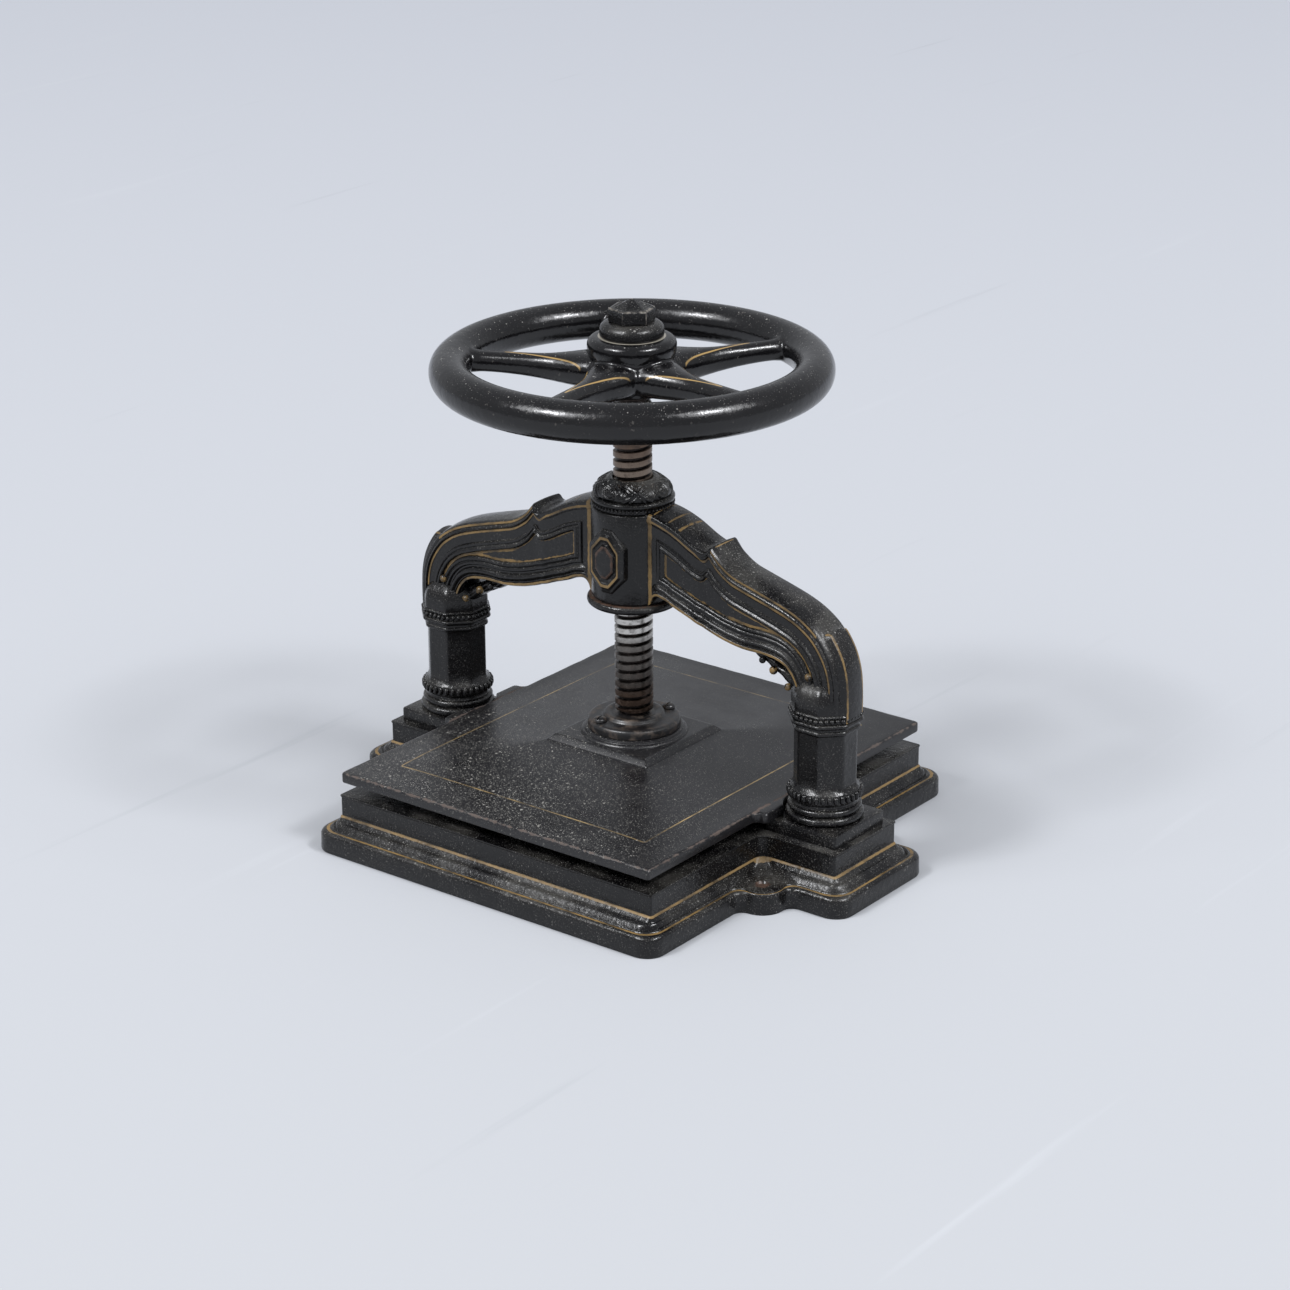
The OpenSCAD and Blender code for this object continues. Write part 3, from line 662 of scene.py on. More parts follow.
def eased_corners(outline, steps=3, share=0.06):
    """An outline with its corners eased off."""
    eased = []
    for before, corner, after in zip(np.roll(outline, 1, axis=0), outline, np.roll(outline, -1, axis=0)):
        a, b = corner + (before - corner) * share, corner + (after - corner) * share
        for t in np.linspace(0, 1, steps):
            eased.append((1 - t) ** 2 * a + 2 * t * (1 - t) * corner + t * t * b)
    return np.array(eased)


octagon = eased_corners(OCTAGON)
medal_rings, medal_gilt, medal_wear = [], [], []
for scale, out, gold in ((1.03, 20.5, 0), (1.03, 27.6, 0), (1.0, 28.6, 0), (0.97, 29, 0), (0.91, 29.1, 0),
                         (0.87, 29.5, 0), (0.85, 30.3, 0), (0.82, 30.7, 0.2), (0.8, 30.8, 1), (0.73, 30.8, 1),
                         (0.71, 30.7, 0.2), (0.68, 30.2, 0), (0.63, 29.6, 0), (0.56, 29.5, 0), (0.53, 30.0, 0),
                         (0.51, 31.2, 0), (0.47, 31.7, 0), (0.3, 31.8, 0), (0.1, 31.8, 0)):
    flat = octagon * scale
    medal_rings.append(np.column_stack([flat[:, 0], np.full(len(flat), -out), flat[:, 1] + 192]))
    medal_gilt.append(np.full(len(flat), gold))
    medal_wear.append(np.full(len(flat), 0.9 if 0.46 < scale < 0.52 else 0))
medal = loft(medal_rings)
medal_back = (medal[0] * (1, -1, 1), medal[1])
points, faces = together([drum, medal, medal_back])
gilt = np.concatenate([np.zeros(len(drum[0]))] + [np.concatenate(medal_gilt)] * 2)
wear = np.concatenate([np.zeros(len(drum[0]))] + [np.concatenate(medal_wear)] * 2)
piece("boss_drum", points, faces, "frame", "japanned_iron", [japan], ["arch"], gilt=gilt, rust=wear)


# ---- dome cap -------------------------------------------------------------------------------
# A loose ornamental cap that covers the nut and keeps dust off its thread: a beaded ring, then a
# dome with roundels to the front, back and sides, and crossed ribbons between them.

DOME_Z = 224.1
dome_angles = np.linspace(0, 2 * math.pi, 361)[:-1]
outer = through([(24.6, 231.9), (25.4, 233.4), (25.2, 235.6), (23.2, 238.4), (19.8, 240.9), (16.6, 242.6)], [7] * 5)
slide = np.concatenate([[0], np.cumsum(np.linalg.norm(np.diff(outer, axis=0), axis=1))])
slant = outward(outer, -1)
MIDDLE = slide[-1] * 0.5


def relief(angle, s):
    """Height of the cast ornament on the dome, by direction and distance up the slope."""
    turn = (angle + math.pi / 4) % (math.pi / 2) - math.pi / 4
    y = s - MIDDLE
    x = turn * 21.5
    spread = np.hypot(x, y * 1.05)
    high = 0.9 * np.exp(-((spread - 5.6) / 0.75) ** 2) + 0.9 * np.exp(-((spread - 3.0) / 0.65) ** 2)
    high += 0.9 * np.exp(-(spread / 1.1) ** 2)
    cross = (angle % (math.pi / 2) - math.pi / 4) * 21.5
    for lean in (1, -1):
        off = np.abs(y * 0.86 + lean * cross * 0.74)
        high = np.maximum(high, 0.75 * np.clip(1.5 - off, 0, 1) * (np.abs(cross) < 9))
        high = np.maximum(high, 0.6 * np.exp(-((off - 2.6) / 0.4) ** 2) * (np.abs(cross) < 7))
    return high * ease(s, 0.3, 1.2) * (1 - ease(s, slide[-1] - 1.6, slide[-1] - 0.5))


dome_rings = [circle(r, z, dome_angles)
              for r, z in ((13.3, DOME_Z), (25.6, DOME_Z), (26, 224.5), (26.2, 225.2), (26.3, 227.6), (26.6, 228.2),
                           (27.3, 228.8), (27.5, 229.7), (27.4, 230.6), (26.7, 231.3), (25.6, 231.7))]
for (r, z), s, (nr, nz) in zip(outer, slide, slant):
    high = relief(dome_angles, s)
    dome_rings.append(circle(r + nr * high, z + nz * high, dome_angles))
dome_rings += [circle(r, z, dome_angles)
               for r, z in ((15.9, 243.1), (15.2, 243.4), (14.2, 243.4), (13.3, 242.9), (13.3, 236))]
rings = np.array(dome_rings)
at = np.arange(rings.shape[0] * rings.shape[1]).reshape(rings.shape[:2])
after = np.roll(at, -1, axis=1)
dome_faces = np.stack([at, after, np.roll(after, -1, axis=0), np.roll(at, -1, axis=0)], axis=-1)
dome = (rings.reshape(-1, 3), dome_faces.reshape(-1, 4).tolist())
PEARLS = 62
pearls = [bead((26.5 * math.cos(a), 26.5 * math.sin(a), 226.4), (1.0, 1.0, 1.0))
          for a in np.arange(PEARLS) * 2 * math.pi / PEARLS]
points, faces = together([dome] + pearls)
piece("dome_cap_relief", points, faces, "frame", "japanned_iron", [japan], ["dome_cap"], sharp=50,
      gilt=np.zeros(len(points)), rust=np.zeros(len(points)))


# ---- nut ------------------------------------------------------------------------------------
# A flanged gunmetal nut pushed up into the boss from below, so that the pressing load seats it.
# Its flange was japanned with the frame, and shows brown grease where it meets the boss.

nut_profile = [(12.75, 157), (28.0, 157), (29.3, 157.3), (30.2, 158.1), (30.6, 159.3), (30.5, 160.6), (30.0, 161.6),
               (29.0, 162.2), (28.2, 162.4), (20, 162.4), (20, 224), (12.75, 224)]
points, faces = tube_turned(nut_profile)
seam = np.array([0.8 if z > 162.1 and math.hypot(x, y) > 25 else 0.0 for x, y, z in points])
piece("nut_flange", points, faces, "frame", "nut_metal", [japan], ["screw_nut"], gilt=np.zeros(len(points)),
      rust=seam)


# ---- platen ---------------------------------------------------------------------------------
# The platen is a planed iron plate with a low crown cast on its back, a square pad and a round
# socket for the screw's foot. Its ears are notched to slide up and down the two columns.

PLATEN_Z, PLATEN_EDGE, CROWN = 45.9, 7.4, 8.5
PLATE_X, PLATE_Y, PAD = 127, 150, 41.5
TAB_X, TAB_Y, NOTCH_R = 135, 38, 26.3


def platen_outline(inset):
    """The platen's edge, set in a little, with its long sides divided."""
    r = NOTCH_R + inset
    end = math.degrees(math.atan2(math.sqrt(max(1, r ** 2 - (COLUMN_X - TAB_X + inset) ** 2)),
                                  TAB_X - inset - COLUMN_X))
    x, y, tx, ty = PLATE_X - inset, PLATE_Y - inset, TAB_X - inset, TAB_Y - inset
    side = np.linspace(0, 1, 28)[1:-1]
    return all_four(np.concatenate([
        arc(COLUMN_X, 0, r, 179, end, 12),
        arc(tx - 3, ty - 3, 3, 0, 90, 6),
        arc(x + 5, ty + 5, 5, 270, 180, 6),
        np.column_stack([np.full(26, x), ty + 5 + (y - 2 - ty - 5) * side]),
        arc(x - 2, y - 2, 2, 0, 90, 6),
        np.column_stack([(x - 2) * (1 - np.linspace(0, 1, 30)[1:-1]), np.full(28, y)]),
    ]))


def pad_outline(half, like):
    """Points on a square of that half size, each on the same ray as a point of another outline."""
    reach = half / np.maximum(np.abs(like[:, 0]), np.abs(like[:, 1]))
    return like * reach[:, None]


rim_outline = platen_outline(0)
chips = np.random.default_rng(7)
wear = chips.normal(0, 0.22, len(rim_outline))
wear = (wear + np.roll(wear, 1) + np.roll(wear, -1)) / 2
rings = [level(platen_outline(0.9), PLATEN_Z), level(platen_outline(0.3), PLATEN_Z + 0.3),
         level(rim_outline, PLATEN_Z + 1.1), level(rim_outline, PLATEN_Z + PLATEN_EDGE - 1.5),
         np.column_stack([platen_outline(0.45), PLATEN_Z + PLATEN_EDGE - 0.5 + wear * 0.6]),
         np.column_stack([platen_outline(1.3), PLATEN_Z + PLATEN_EDGE - 0.06 + np.minimum(wear, 0) * 0.4])]
flat_rim = platen_outline(2.2)
pad_line = pad_outline(PAD + 0.4, flat_rim)
for w in np.concatenate([[0], np.linspace(0.04, 1, 22)]):
    xy = flat_rim * (1 - w) + pad_line * w
    px = np.clip((np.abs(xy[:, 0]) - PAD) / (PLATE_X - 7 - PAD), 0, 1)
    py = np.clip((np.abs(xy[:, 1]) - PAD) / (PLATE_Y - 7 - PAD), 0, 1)
    far = np.clip((px ** 5 + py ** 5) ** 0.2, 0, 1)
    rings.append(level(xy, PLATEN_Z + PLATEN_EDGE + CROWN * (1 - far) ** 1.12))
pad_foot = PLATEN_Z + PLATEN_EDGE + CROWN
for half, z in ((PAD, 0.05), (PAD - 0.2, 0.7), (PAD - 1.0, 1.5), (PAD - 2.2, 2.6), (PAD - 3.2, 3.5), (PAD - 3.9, 4.0),
                (PAD - 4.8, 4.2), (37.2 / 1.06, 4.2)):
    rings.append(level(pad_outline(half, flat_rim), pad_foot + z))
ray = np.arctan2(flat_rim[:, 1], flat_rim[:, 0])
for r, z in ((35.6, 4.25), (35.4, 4.9), (34.4, 5.9), (33.3, 6.3), (33.0, 6.7), (32.9, 7.4), (32.4, 7.9), (31.4, 8.2),
             (15.5, 8.2), (15.5, -5.8), (10, -5.8)):
    rings.append(circle(r, pad_foot + z, ray))
points, faces = loft(rings)

platen_paint, tree = new_material("rubbed_black_platen_paint")
# Black varnish on planed iron, rubbed down to a satin grey-black by hands and cloths, pinstriped
# in gold, peppered with dust, and chipped to rust along the edges.
place = add(tree, "TexCoord").outputs["Object"]
axes = add(tree, "SeparateXYZ", {0: place})
facing = add(tree, "SeparateXYZ", {0: add(tree, "NewGeometry").outputs["Normal"]}).outputs[2]
GRIT_MM, PATCH_MM = 0.8, 36
grit = add(tree, "TexNoise", {"Vector": place, "Scale": 1 / (GRIT_MM * MM), "Detail": 3})
patches = add(tree, "TexNoise", {"Vector": place, "Scale": 1 / (PATCH_MM * MM), "Detail": 6, "Roughness": 0.6})
colour = add(tree, "Mix", {"Factor": patches, "A": linear("#0a0a0c"), "B": linear("#1c1b1d")}, data_type="RGBA")


def inside_plate(tree, axes, half_x, half_y, corner):
    """Distance from a rounded rectangle's edge, in metres, below zero inside it."""
    sides = []
    for axis, half in ((0, half_x), (1, half_y)):
        away = add(tree, "Math", {0: axes.outputs[axis]}, operation="ABSOLUTE")
        sides.append(add(tree, "Math", {0: away, 1: (half - corner) * MM}, operation="SUBTRACT"))
    nearer = add(tree, "Math", {0: sides[0], 1: sides[1]}, operation="MAXIMUM")
    within = add(tree, "Math", {0: nearer, 1: 0}, operation="MINIMUM")
    past = [add(tree, "Math", {0: s, 1: 0}, operation="MAXIMUM") for s in sides]
    beyond = add(tree, "VectorMath", {0: add(tree, "CombineXYZ", {0: past[0], 1: past[1]})}, operation="LENGTH")
    total = add(tree, "Math", {0: within, 1: beyond}, operation="ADD")
    return add(tree, "Math", {0: total, 1: corner * MM}, operation="SUBTRACT")


# Dust specks, thickest towards the front left where the press was last used
drift = add(tree, "VectorMath", {0: place, 1: (-2.2, -3.4, 0)}, operation="DOT_PRODUCT")
drift = add(tree, "Math", {0: drift, 1: patches}, operation="ADD")
drift = add(tree, "MapRange", {"Value": drift, "From Min": 0.1, "From Max": 0.95, "To Min": 0.36, "To Max": 1})
dust = speckle(tree, place, ((1.2, 0.24), (1.9, 0.24), (3.4, 0.2), (8.0, 0.12)), 0.3, 0.9, drift)
lint = add(tree, "TexNoise", {"Vector": place, "Scale": 1 / (0.75 * MM), "Detail": 2})
lint = add(tree, "Math", {0: drift, 1: 0.08, 2: lint}, operation="MULTIPLY_ADD")
lint = add(tree, "MapRange", {"Value": lint, "From Min": 0.69, "From Max": 0.76, "To Max": 0.9})
dust = add(tree, "Math", {0: dust, 1: lint}, operation="MAXIMUM")
on_top = add(tree, "MapRange", {"Value": facing, "From Min": 0.1, "From Max": 0.9, "To Min": 0.3})
dust = add(tree, "Math", {0: dust, 1: on_top}, operation="MULTIPLY")
dust = add(tree, "Math", {0: dust, 1: 0.75}, operation="MULTIPLY")
colour = add(tree, "Mix", {"Factor": dust, "A": colour, "B": linear("#98968f")}, data_type="RGBA")
# Pinstripe: one fine gold line, well in from the edge
STRIPE_X, STRIPE_Y, CORNER = 101, 120, 2
stripe = inside_plate(tree, axes, STRIPE_X, STRIPE_Y, CORNER)
stripe = add(tree, "Math", {0: stripe}, operation="ABSOLUTE")
stripe = add(tree, "MapRange", {"Value": stripe, "From Min": 0.35 * MM, "From Max": 0.62 * MM, "To Min": 1,
                                "To Max": 0})
rubbed = add(tree, "TexNoise", {"Vector": place, "Scale": 1 / (30 * MM), "Detail": 8, "Roughness": 0.7})
rubbed = add(tree, "MapRange", {"Value": rubbed, "From Min": 0.42, "From Max": 0.6, "To Min": 0.1, "To Max": 0.8})
stripe = add(tree, "Math", {0: stripe, 1: rubbed}, operation="MULTIPLY")
stripe = add(tree, "Math", {0: stripe, 1: on_top}, operation="MULTIPLY")
colour = add(tree, "Mix", {"Factor": stripe, "A": colour, "B": linear("#9d8558")}, data_type="RGBA")
# Chipped and rusty within a few millimetres of the edge
edge = inside_plate(tree, axes, PLATE_X, PLATE_Y, CORNER)
edge = add(tree, "Math", {0: edge}, operation="ABSOLUTE")
below_top = add(tree, "Math", {0: (PLATEN_Z + PLATEN_EDGE) * MM, 1: axes.outputs[2]}, operation="SUBTRACT")
edge = add(tree, "Math", {0: edge, 1: below_top}, operation="MAXIMUM")
edge = add(tree, "MapRange", {"Value": edge, "From Min": 0, "From Max": 6 * MM, "To Min": 0.42, "To Max": -0.6})
flake = add(tree, "TexNoise", {"Vector": place, "Scale": 1 / (5 * MM), "Detail": 5, "Roughness": 0.62})
chip = add(tree, "Math", {0: flake, 1: edge}, operation="ADD")
chip = add(tree, "MapRange", {"Value": chip, "From Min": 0.72, "From Max": 0.84})
bare = add(tree, "Mix", {"Factor": patches, "A": linear("#43332b"), "B": linear("#57504b")}, data_type="RGBA")
colour = add(tree, "Mix", {"Factor": chip, "A": colour, "B": bare}, data_type="RGBA")
rough = add(tree, "MapRange", {"Value": patches, "From Min": 0.35, "From Max": 0.7, "To Min": 0.26, "To Max": 0.4})
matt = add(tree, "Math", {0: dust, 1: chip}, operation="MAXIMUM")
rough = add(tree, "Math", {0: matt, 1: 0.35, 2: rough}, operation="MULTIPLY_ADD")
surface(tree, ((grit, 0.6, 0.12), (chip, 0.6, -0.2)), Base_Color=colour, Roughness=rough, IOR=1.5)
piece("platen_plate", points, faces, "platen", "platen_iron", [platen_paint], ["platen"], sharp=32)


# ---- retaining plate ------------------------------------------------------------------------
# A turned iron ring, screwed over the socket with two round-headed screws, that holds the collar
# of the screw down, so that the platen lifts with it. Thick with varnish and greasy dust.

worn_varnish, tree = new_material("greasy_worn_varnish")
# Black varnish rubbed through on every edge, where old oil and dust have browned it.
place = add(tree, "TexCoord").outputs["Object"]
grease = add(tree, "TexNoise", {"Vector": place, "Scale": 1 / (7 * MM), "Detail": 6, "Roughness": 0.6})
grain = add(tree, "TexNoise", {"Vector": place, "Scale": 1 / (1.1 * MM), "Detail": 3})
edges = add(tree, "NewGeometry").outputs["Pointiness"]
worn = add(tree, "Math", {0: edges, 1: grease, 2: -0.02}, operation="MULTIPLY_ADD")
worn = add(tree, "MapRange", {"Value": worn, "From Min": 0.25, "From Max": 0.38})
brown = add(tree, "MapRange", {"Value": grease, "From Min": 0.45, "From Max": 0.7, "To Max": 0.75})
colour = add(tree, "Mix", {"Factor": brown, "A": linear("#121112"), "B": linear("#2d2722")}, data_type="RGBA")
colour = add(tree, "Mix", {"Factor": worn, "A": colour, "B": linear("#584d44")}, data_type="RGBA")
rough = add(tree, "MapRange", {"Value": grease, "From Min": 0.3, "From Max": 0.7, "To Min": 0.26, "To Max": 0.5})
surface(tree, ((grease, 0.5, 0.3), (grain, 0.5, 0.08)), Base_Color=colour, Roughness=rough, IOR=1.55)

plate_profile = [(9.6, 70), (30.4, 70), (31, 70.5), (31, 73.6), (30.8, 74.9), (30.1, 75.9), (29.0, 76.4),
                 (27.5, 76.5), (23.2, 76.5), (21.6, 76.6), (20.7, 77.1), (20.2, 78.2), (19.6, 79.1), (18.4, 79.5),
                 (16.4, 79.4), (15.2, 78.8), (14.3, 78.3), (12.6, 78.6), (11.2, 79.4), (9.6, 79.4)]
points, faces = tube_turned(plate_profile)
piece("retaining_ring", points, faces, "platen", "japanned_iron", [worn_varnish], ["retaining_plate"], sharp=50)
RING_SCREW_R = 25.5              # from the screw's axis to each ring screw
head_profile = [(0.01, 62.6), (2.45, 62.6), (2.45, 76.52), (4.3, 76.52), (4.55, 76.9), (4.4, 77.8), (3.9, 78.6),
                (3.0, 79.2), (1.6, 79.5), (0.01, 79.6)]
for name, node, turn in (("ring_screw_front", "retaining_screw_front", 245),
                         ("ring_screw_back", "retaining_screw_back", 65)):
    x, y = RING_SCREW_R * math.cos(math.radians(turn)), RING_SCREW_R * math.sin(math.radians(turn))
    points, faces = turned(head_profile, ROUND[::4])
    head = piece(name, points + (x, y, 0), faces, "platen", "worn_steel", [worn_varnish], [node])
    slot_cutter = boxes_and_rods("slot", [((-6, -0.45, 78.5), (6, 0.45, 81))], [])
    slot_turn = Matrix.Rotation(math.radians(turn + 35), 4, "Z")
    slot_cutter.data.transform(Matrix.Translation((x * MM, y * MM, 0)) @ slot_turn)
    cut(head, slot_cutter)
    finish_piece(head, "platen", [worn_varnish], [node])


# ---- screw ----------------------------------------------------------------------------------
# One-inch square-threaded screw, right-handed, four turns to the inch, turned from mild steel.
# The crests that run in the nut are bright, and the rest is brown with old oil.

PITCH, SCREW_R, ROOT_R, FOOT_R = 6.35, 12.7, 10.3, 9.5
ROUND_STEPS = 48
thread = ((0, 0), (0.15, 0), (0.18, 0.12), (0.2, 0.84), (0.24, 1), (0.42, 1), (0.6, 1), (0.78, 1), (0.82, 0.84),
          (0.84, 0.12), (0.87, 0))
THREAD_Z, THREAD_TOP = 80.2, 297
turns = int((THREAD_TOP - THREAD_Z) / PITCH) + 3
a = np.arange(ROUND_STEPS) * 2 * math.pi / ROUND_STEPS
rows = [(k + f, h) for k in range(-1, turns) for f, h in thread]
points = []
for f, h in rows:
    z = THREAD_Z + (f + a / (2 * math.pi)) * PITCH
    full = ease(z, THREAD_Z + 0.2, THREAD_Z + 2) * (1 - ease(z, THREAD_TOP - 5, THREAD_TOP - 1))
    r = ROOT_R + (SCREW_R - ROOT_R) * h * full
    points.append(circle(r, np.clip(z, THREAD_Z, THREAD_TOP), a))
points = np.array(points)
faces = []
per_turn = len(thread)
for j in range(len(rows) - 1):
    for i in range(ROUND_STEPS):
        if i < ROUND_STEPS - 1:
            quad = [(j, i), (j, i + 1), (j + 1, i + 1), (j + 1, i)]
        elif j + per_turn + 1 < len(rows):
            quad = [(j, i), (j + per_turn, 0), (j + per_turn + 1, 0), (j + 1, i)]
        else:
            continue
        z = points[quad[0]][2], points[quad[1]][2], points[quad[2]][2], points[quad[3]][2]
        if max(z) - min(z) > 1e-6 or THREAD_Z < z[0] < THREAD_TOP:
            faces.append([p * ROUND_STEPS + q for p, q in quad])

points, faces = together([
    (points.reshape(-1, 3), faces),
    turned([(0.01, 59.2), (8.6, 59.2), (FOOT_R, 60.2), (FOOT_R, THREAD_Z + 0.2), (0.01, THREAD_Z + 0.2)],
           ROUND[::3]),
    turned([(0.01, 296.5), (12.3, 296.5), (SCREW_R, 297), (SCREW_R, 301), (12.2, 301.5), (0.01, 301.5)], ROUND[::3]),
    loft([level(np.array([(1, 1), (-1, 1), (-1, -1), (1, -1)]) * 8.5, z) for z in (301.2, 336)]),
    turned([(0.01, 335), (8, 335), (8, 352.4), (7.4, 353), (0.01, 353)], ROUND[::3]),
])

screw_steel, tree = new_material("turned_steel_old_oil")
# Mild steel with fine turning rings. Crests polished where they run in the nut, below the boss;
# grey further down, and rust brown at the bottom and above the cap. Roots hold black grease.
place = add(tree, "TexCoord").outputs["Object"]
axes = add(tree, "SeparateXYZ", {0: place})
flat = add(tree, "CombineXYZ", {0: axes.outputs[0], 1: axes.outputs[1]})
from_axis = add(tree, "VectorMath", {0: flat}, operation="LENGTH")
crest = add(tree, "MapRange", {"Value": from_axis, "From Min": 11 * MM, "From Max": 12.4 * MM})
ringed = add(tree, "Mapping", {"Vector": place, "Scale": (1, 1, 9)})
streaks = add(tree, "TexNoise", {"Vector": ringed, "Scale": 1 / (3 * MM), "Detail": 5})
mottle = add(tree, "TexNoise", {"Vector": place, "Scale": 1 / (5 * MM), "Detail": 6, "Roughness": 0.65})
height = add(tree, "Math", {0: mottle, 1: 14 * MM, 2: axes.outputs[2]}, operation="MULTIPLY_ADD")
LOW, HIGH = 80, 300              # heights of the ramp's two ends
zones = add(tree, "MapRange", {"Value": height, "From Min": LOW * MM, "From Max": HIGH * MM})
by_height = add(tree, "ValToRGB", {0: zones})
bands = ((80, "#3d332d"), (100, "#5a4a40"), (110, "#55504c"), (136, "#75716d"), (145, "#cfcdc9"), (172, "#cfcdc9"),
         (205, "#8a857e"), (246, "#85796e"), (272, "#5e4f45"), (288, "#231e1c"))
ramp = by_height.color_ramp
for extra in range(len(bands) - 2):
    ramp.elements.new(0.5)
for element, (z, tint) in zip(ramp.elements, bands):
    element.position = (z - LOW) / (HIGH - LOW)
    element.color = linear(tint)
colour = add(tree, "Mix", {"Factor": crest, "A": linear("#2b2624"), "B": by_height}, data_type="RGBA")
stain = add(tree, "MapRange", {"Value": mottle, "From Min": 0.52, "From Max": 0.68, "To Max": 0.75})
colour = add(tree, "Mix", {"Factor": stain, "A": colour, "B": linear("#33261f")}, data_type="RGBA")
metal = add(tree, "MapRange", {"Value": stain, "From Max": 0.75, "To Min": 0.95, "To Max": 0.25})
rough = add(tree, "MapRange", {"Value": streaks, "From Min": 0.3, "From Max": 0.7, "To Min": 0.24, "To Max": 0.42})
rough = add(tree, "Math", {0: stain, 1: 0.3, 2: rough}, operation="MULTIPLY_ADD")
surface(tree, ((streaks, 0.3, 0.05), (mottle, 0.4, 0.12)), Base_Color=colour, Roughness=rough, Metallic=metal)
piece("screw_thread", points, faces, "screw", "screw_steel", [screw_steel], ["screw"], sharp=34)

# The parts that hold the screw to the platen and the frame to the bed are hidden steel fittings
for node in ("screw_collar", "collar_pin", "thrust_pad", "nut_lock_pin", "hold_down_bolt_left",
             "hold_down_bolt_right", "hold_down_washer_left", "hold_down_washer_right"):
    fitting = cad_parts[node]
    for slot in fitting.material_slots:
        slot.material = screw_steel


# ---- handwheel ------------------------------------------------------------------------------
# A cast-iron wheel: a round rim on five spokes that spread like leaves into the hub, all in one
# casting with soft fillets, stoved in glossy black japan and lined in gold on the spokes.

WHEEL_Z, WHEEL_R, RIM_R = 315.2, 116.9, 13.1
SPOKES, FIRST_SPOKE = 5, -10
tube = np.linspace(0, 2 * math.pi, 33)[:-1]
rim = tube_turned(np.column_stack([WHEEL_R + RIM_R * np.cos(tube), WHEEL_Z + RIM_R * np.sin(tube)]))
hub = turned([(0.01, 301.6), (26, 301.6), (27.2, 302.2), (27.4, 303.4), (26.4, 307), (26, 312), (26, 320),
              (26.8, 323.5), (28.4, 326.4), (28.9, 328.5), (28.9, 332.4), (28.3, 334.4), (26.8, 336),
              (24.6, 336.8), (22, 337), (0.01, 337)])
wheel_parts = [rim, hub]
lobe = np.linspace(0, 2 * math.pi, 37)[:-1]


def rounded_box(t, p):
    return np.sign(np.cos(t)) * np.abs(np.cos(t)) ** p, np.sign(np.sin(t)) * np.abs(np.sin(t)) ** p


for k in range(SPOKES):
    turn = math.radians(FIRST_SPOKE + 360 / SPOKES * k)
    spoke_rings = []
    for r in np.concatenate([np.linspace(14, 60, 16), np.linspace(66, 112, 8)]):     # closer rings near the hub
        root = (1 - ease(r, 20, 76)) ** 1.8
        wide = 6.9 + 11.6 * root + 1.6 * ease(r, 96, 108)
        deep = (1 - ease(r, 20, 96)) ** 1.2
        top, low = 321.6 + 3.8 * root + ease(r, 98, 108), 308 - 6 * deep - ease(r, 98, 108)
        tall, middle = (top - low) / 2, (top + low) / 2
        c, s = rounded_box(lobe, 0.82)
        y, z = c * wide * (1 - 0.12 * np.maximum(s, 0) * (1 - root)), middle + s * tall
        spoke_rings.append(np.column_stack([r * math.cos(turn) - y * math.sin(turn),
                                            r * math.sin(turn) + y * math.cos(turn), z]))
    wheel_parts.append(loft(spoke_rings))
points, faces = together(wheel_parts)

wheel_japan, tree = new_material("handled_black_japan")
# The same stoved varnish, polished by hands on the rim: glossier, with small chips down to the
# grey primer, dust on top, and a pointed arch of gold line on each spoke.
place = add(tree, "TexCoord").outputs["Object"]
axes = add(tree, "SeparateXYZ", {0: place})
facing = add(tree, "SeparateXYZ", {0: add(tree, "NewGeometry").outputs["Normal"]}).outputs[2]
PIT_MM, LUMP_MM, CLOUD_MM = 1.2, 5.5, 32
pits, lumps, clouds = [add(tree, "TexNoise", {"Vector": place, "Scale": 1 / (size * MM), "Detail": detail})
                       for size, detail in ((PIT_MM, 3), (LUMP_MM, 4), (CLOUD_MM, 5))]
colour = add(tree, "Mix", {"Factor": clouds, "A": linear("#050506"), "B": linear("#0f0e10")}, data_type="RGBA")
flake = add(tree, "TexNoise", {"Vector": place, "Scale": 1 / (4.5 * MM), "Detail": 6, "Roughness": 0.68})
chip = add(tree, "MapRange", {"Value": flake, "From Min": 0.64, "From Max": 0.69, "To Max": 0.65})
colour = add(tree, "Mix", {"Factor": chip, "A": colour, "B": linear("#4e4b47")}, data_type="RGBA")
dust = speckle(tree, place, ((1.5, 0.18), (3.0, 0.18), (7.0, 0.12)), 0.4, 1)
settled = add(tree, "MapRange", {"Value": facing, "From Min": 0.1, "From Max": 0.9, "To Max": 0.7})
dust = add(tree, "Math", {0: dust, 1: settled}, operation="MULTIPLY")
colour = add(tree, "Mix", {"Factor": dust, "A": colour, "B": linear("#8f8d88")}, data_type="RGBA")
lint = add(tree, "TexNoise", {"Vector": place, "Scale": 1 / (0.9 * MM), "Detail": 2})
lint = add(tree, "MapRange", {"Value": lint, "From Min": 0.66, "From Max": 0.74, "To Max": 0.5})
lint = add(tree, "Math", {0: lint, 1: settled}, operation="MULTIPLY")
colour = add(tree, "Mix", {"Factor": lint, "A": colour, "B": linear("#8f8d88")}, data_type="RGBA")
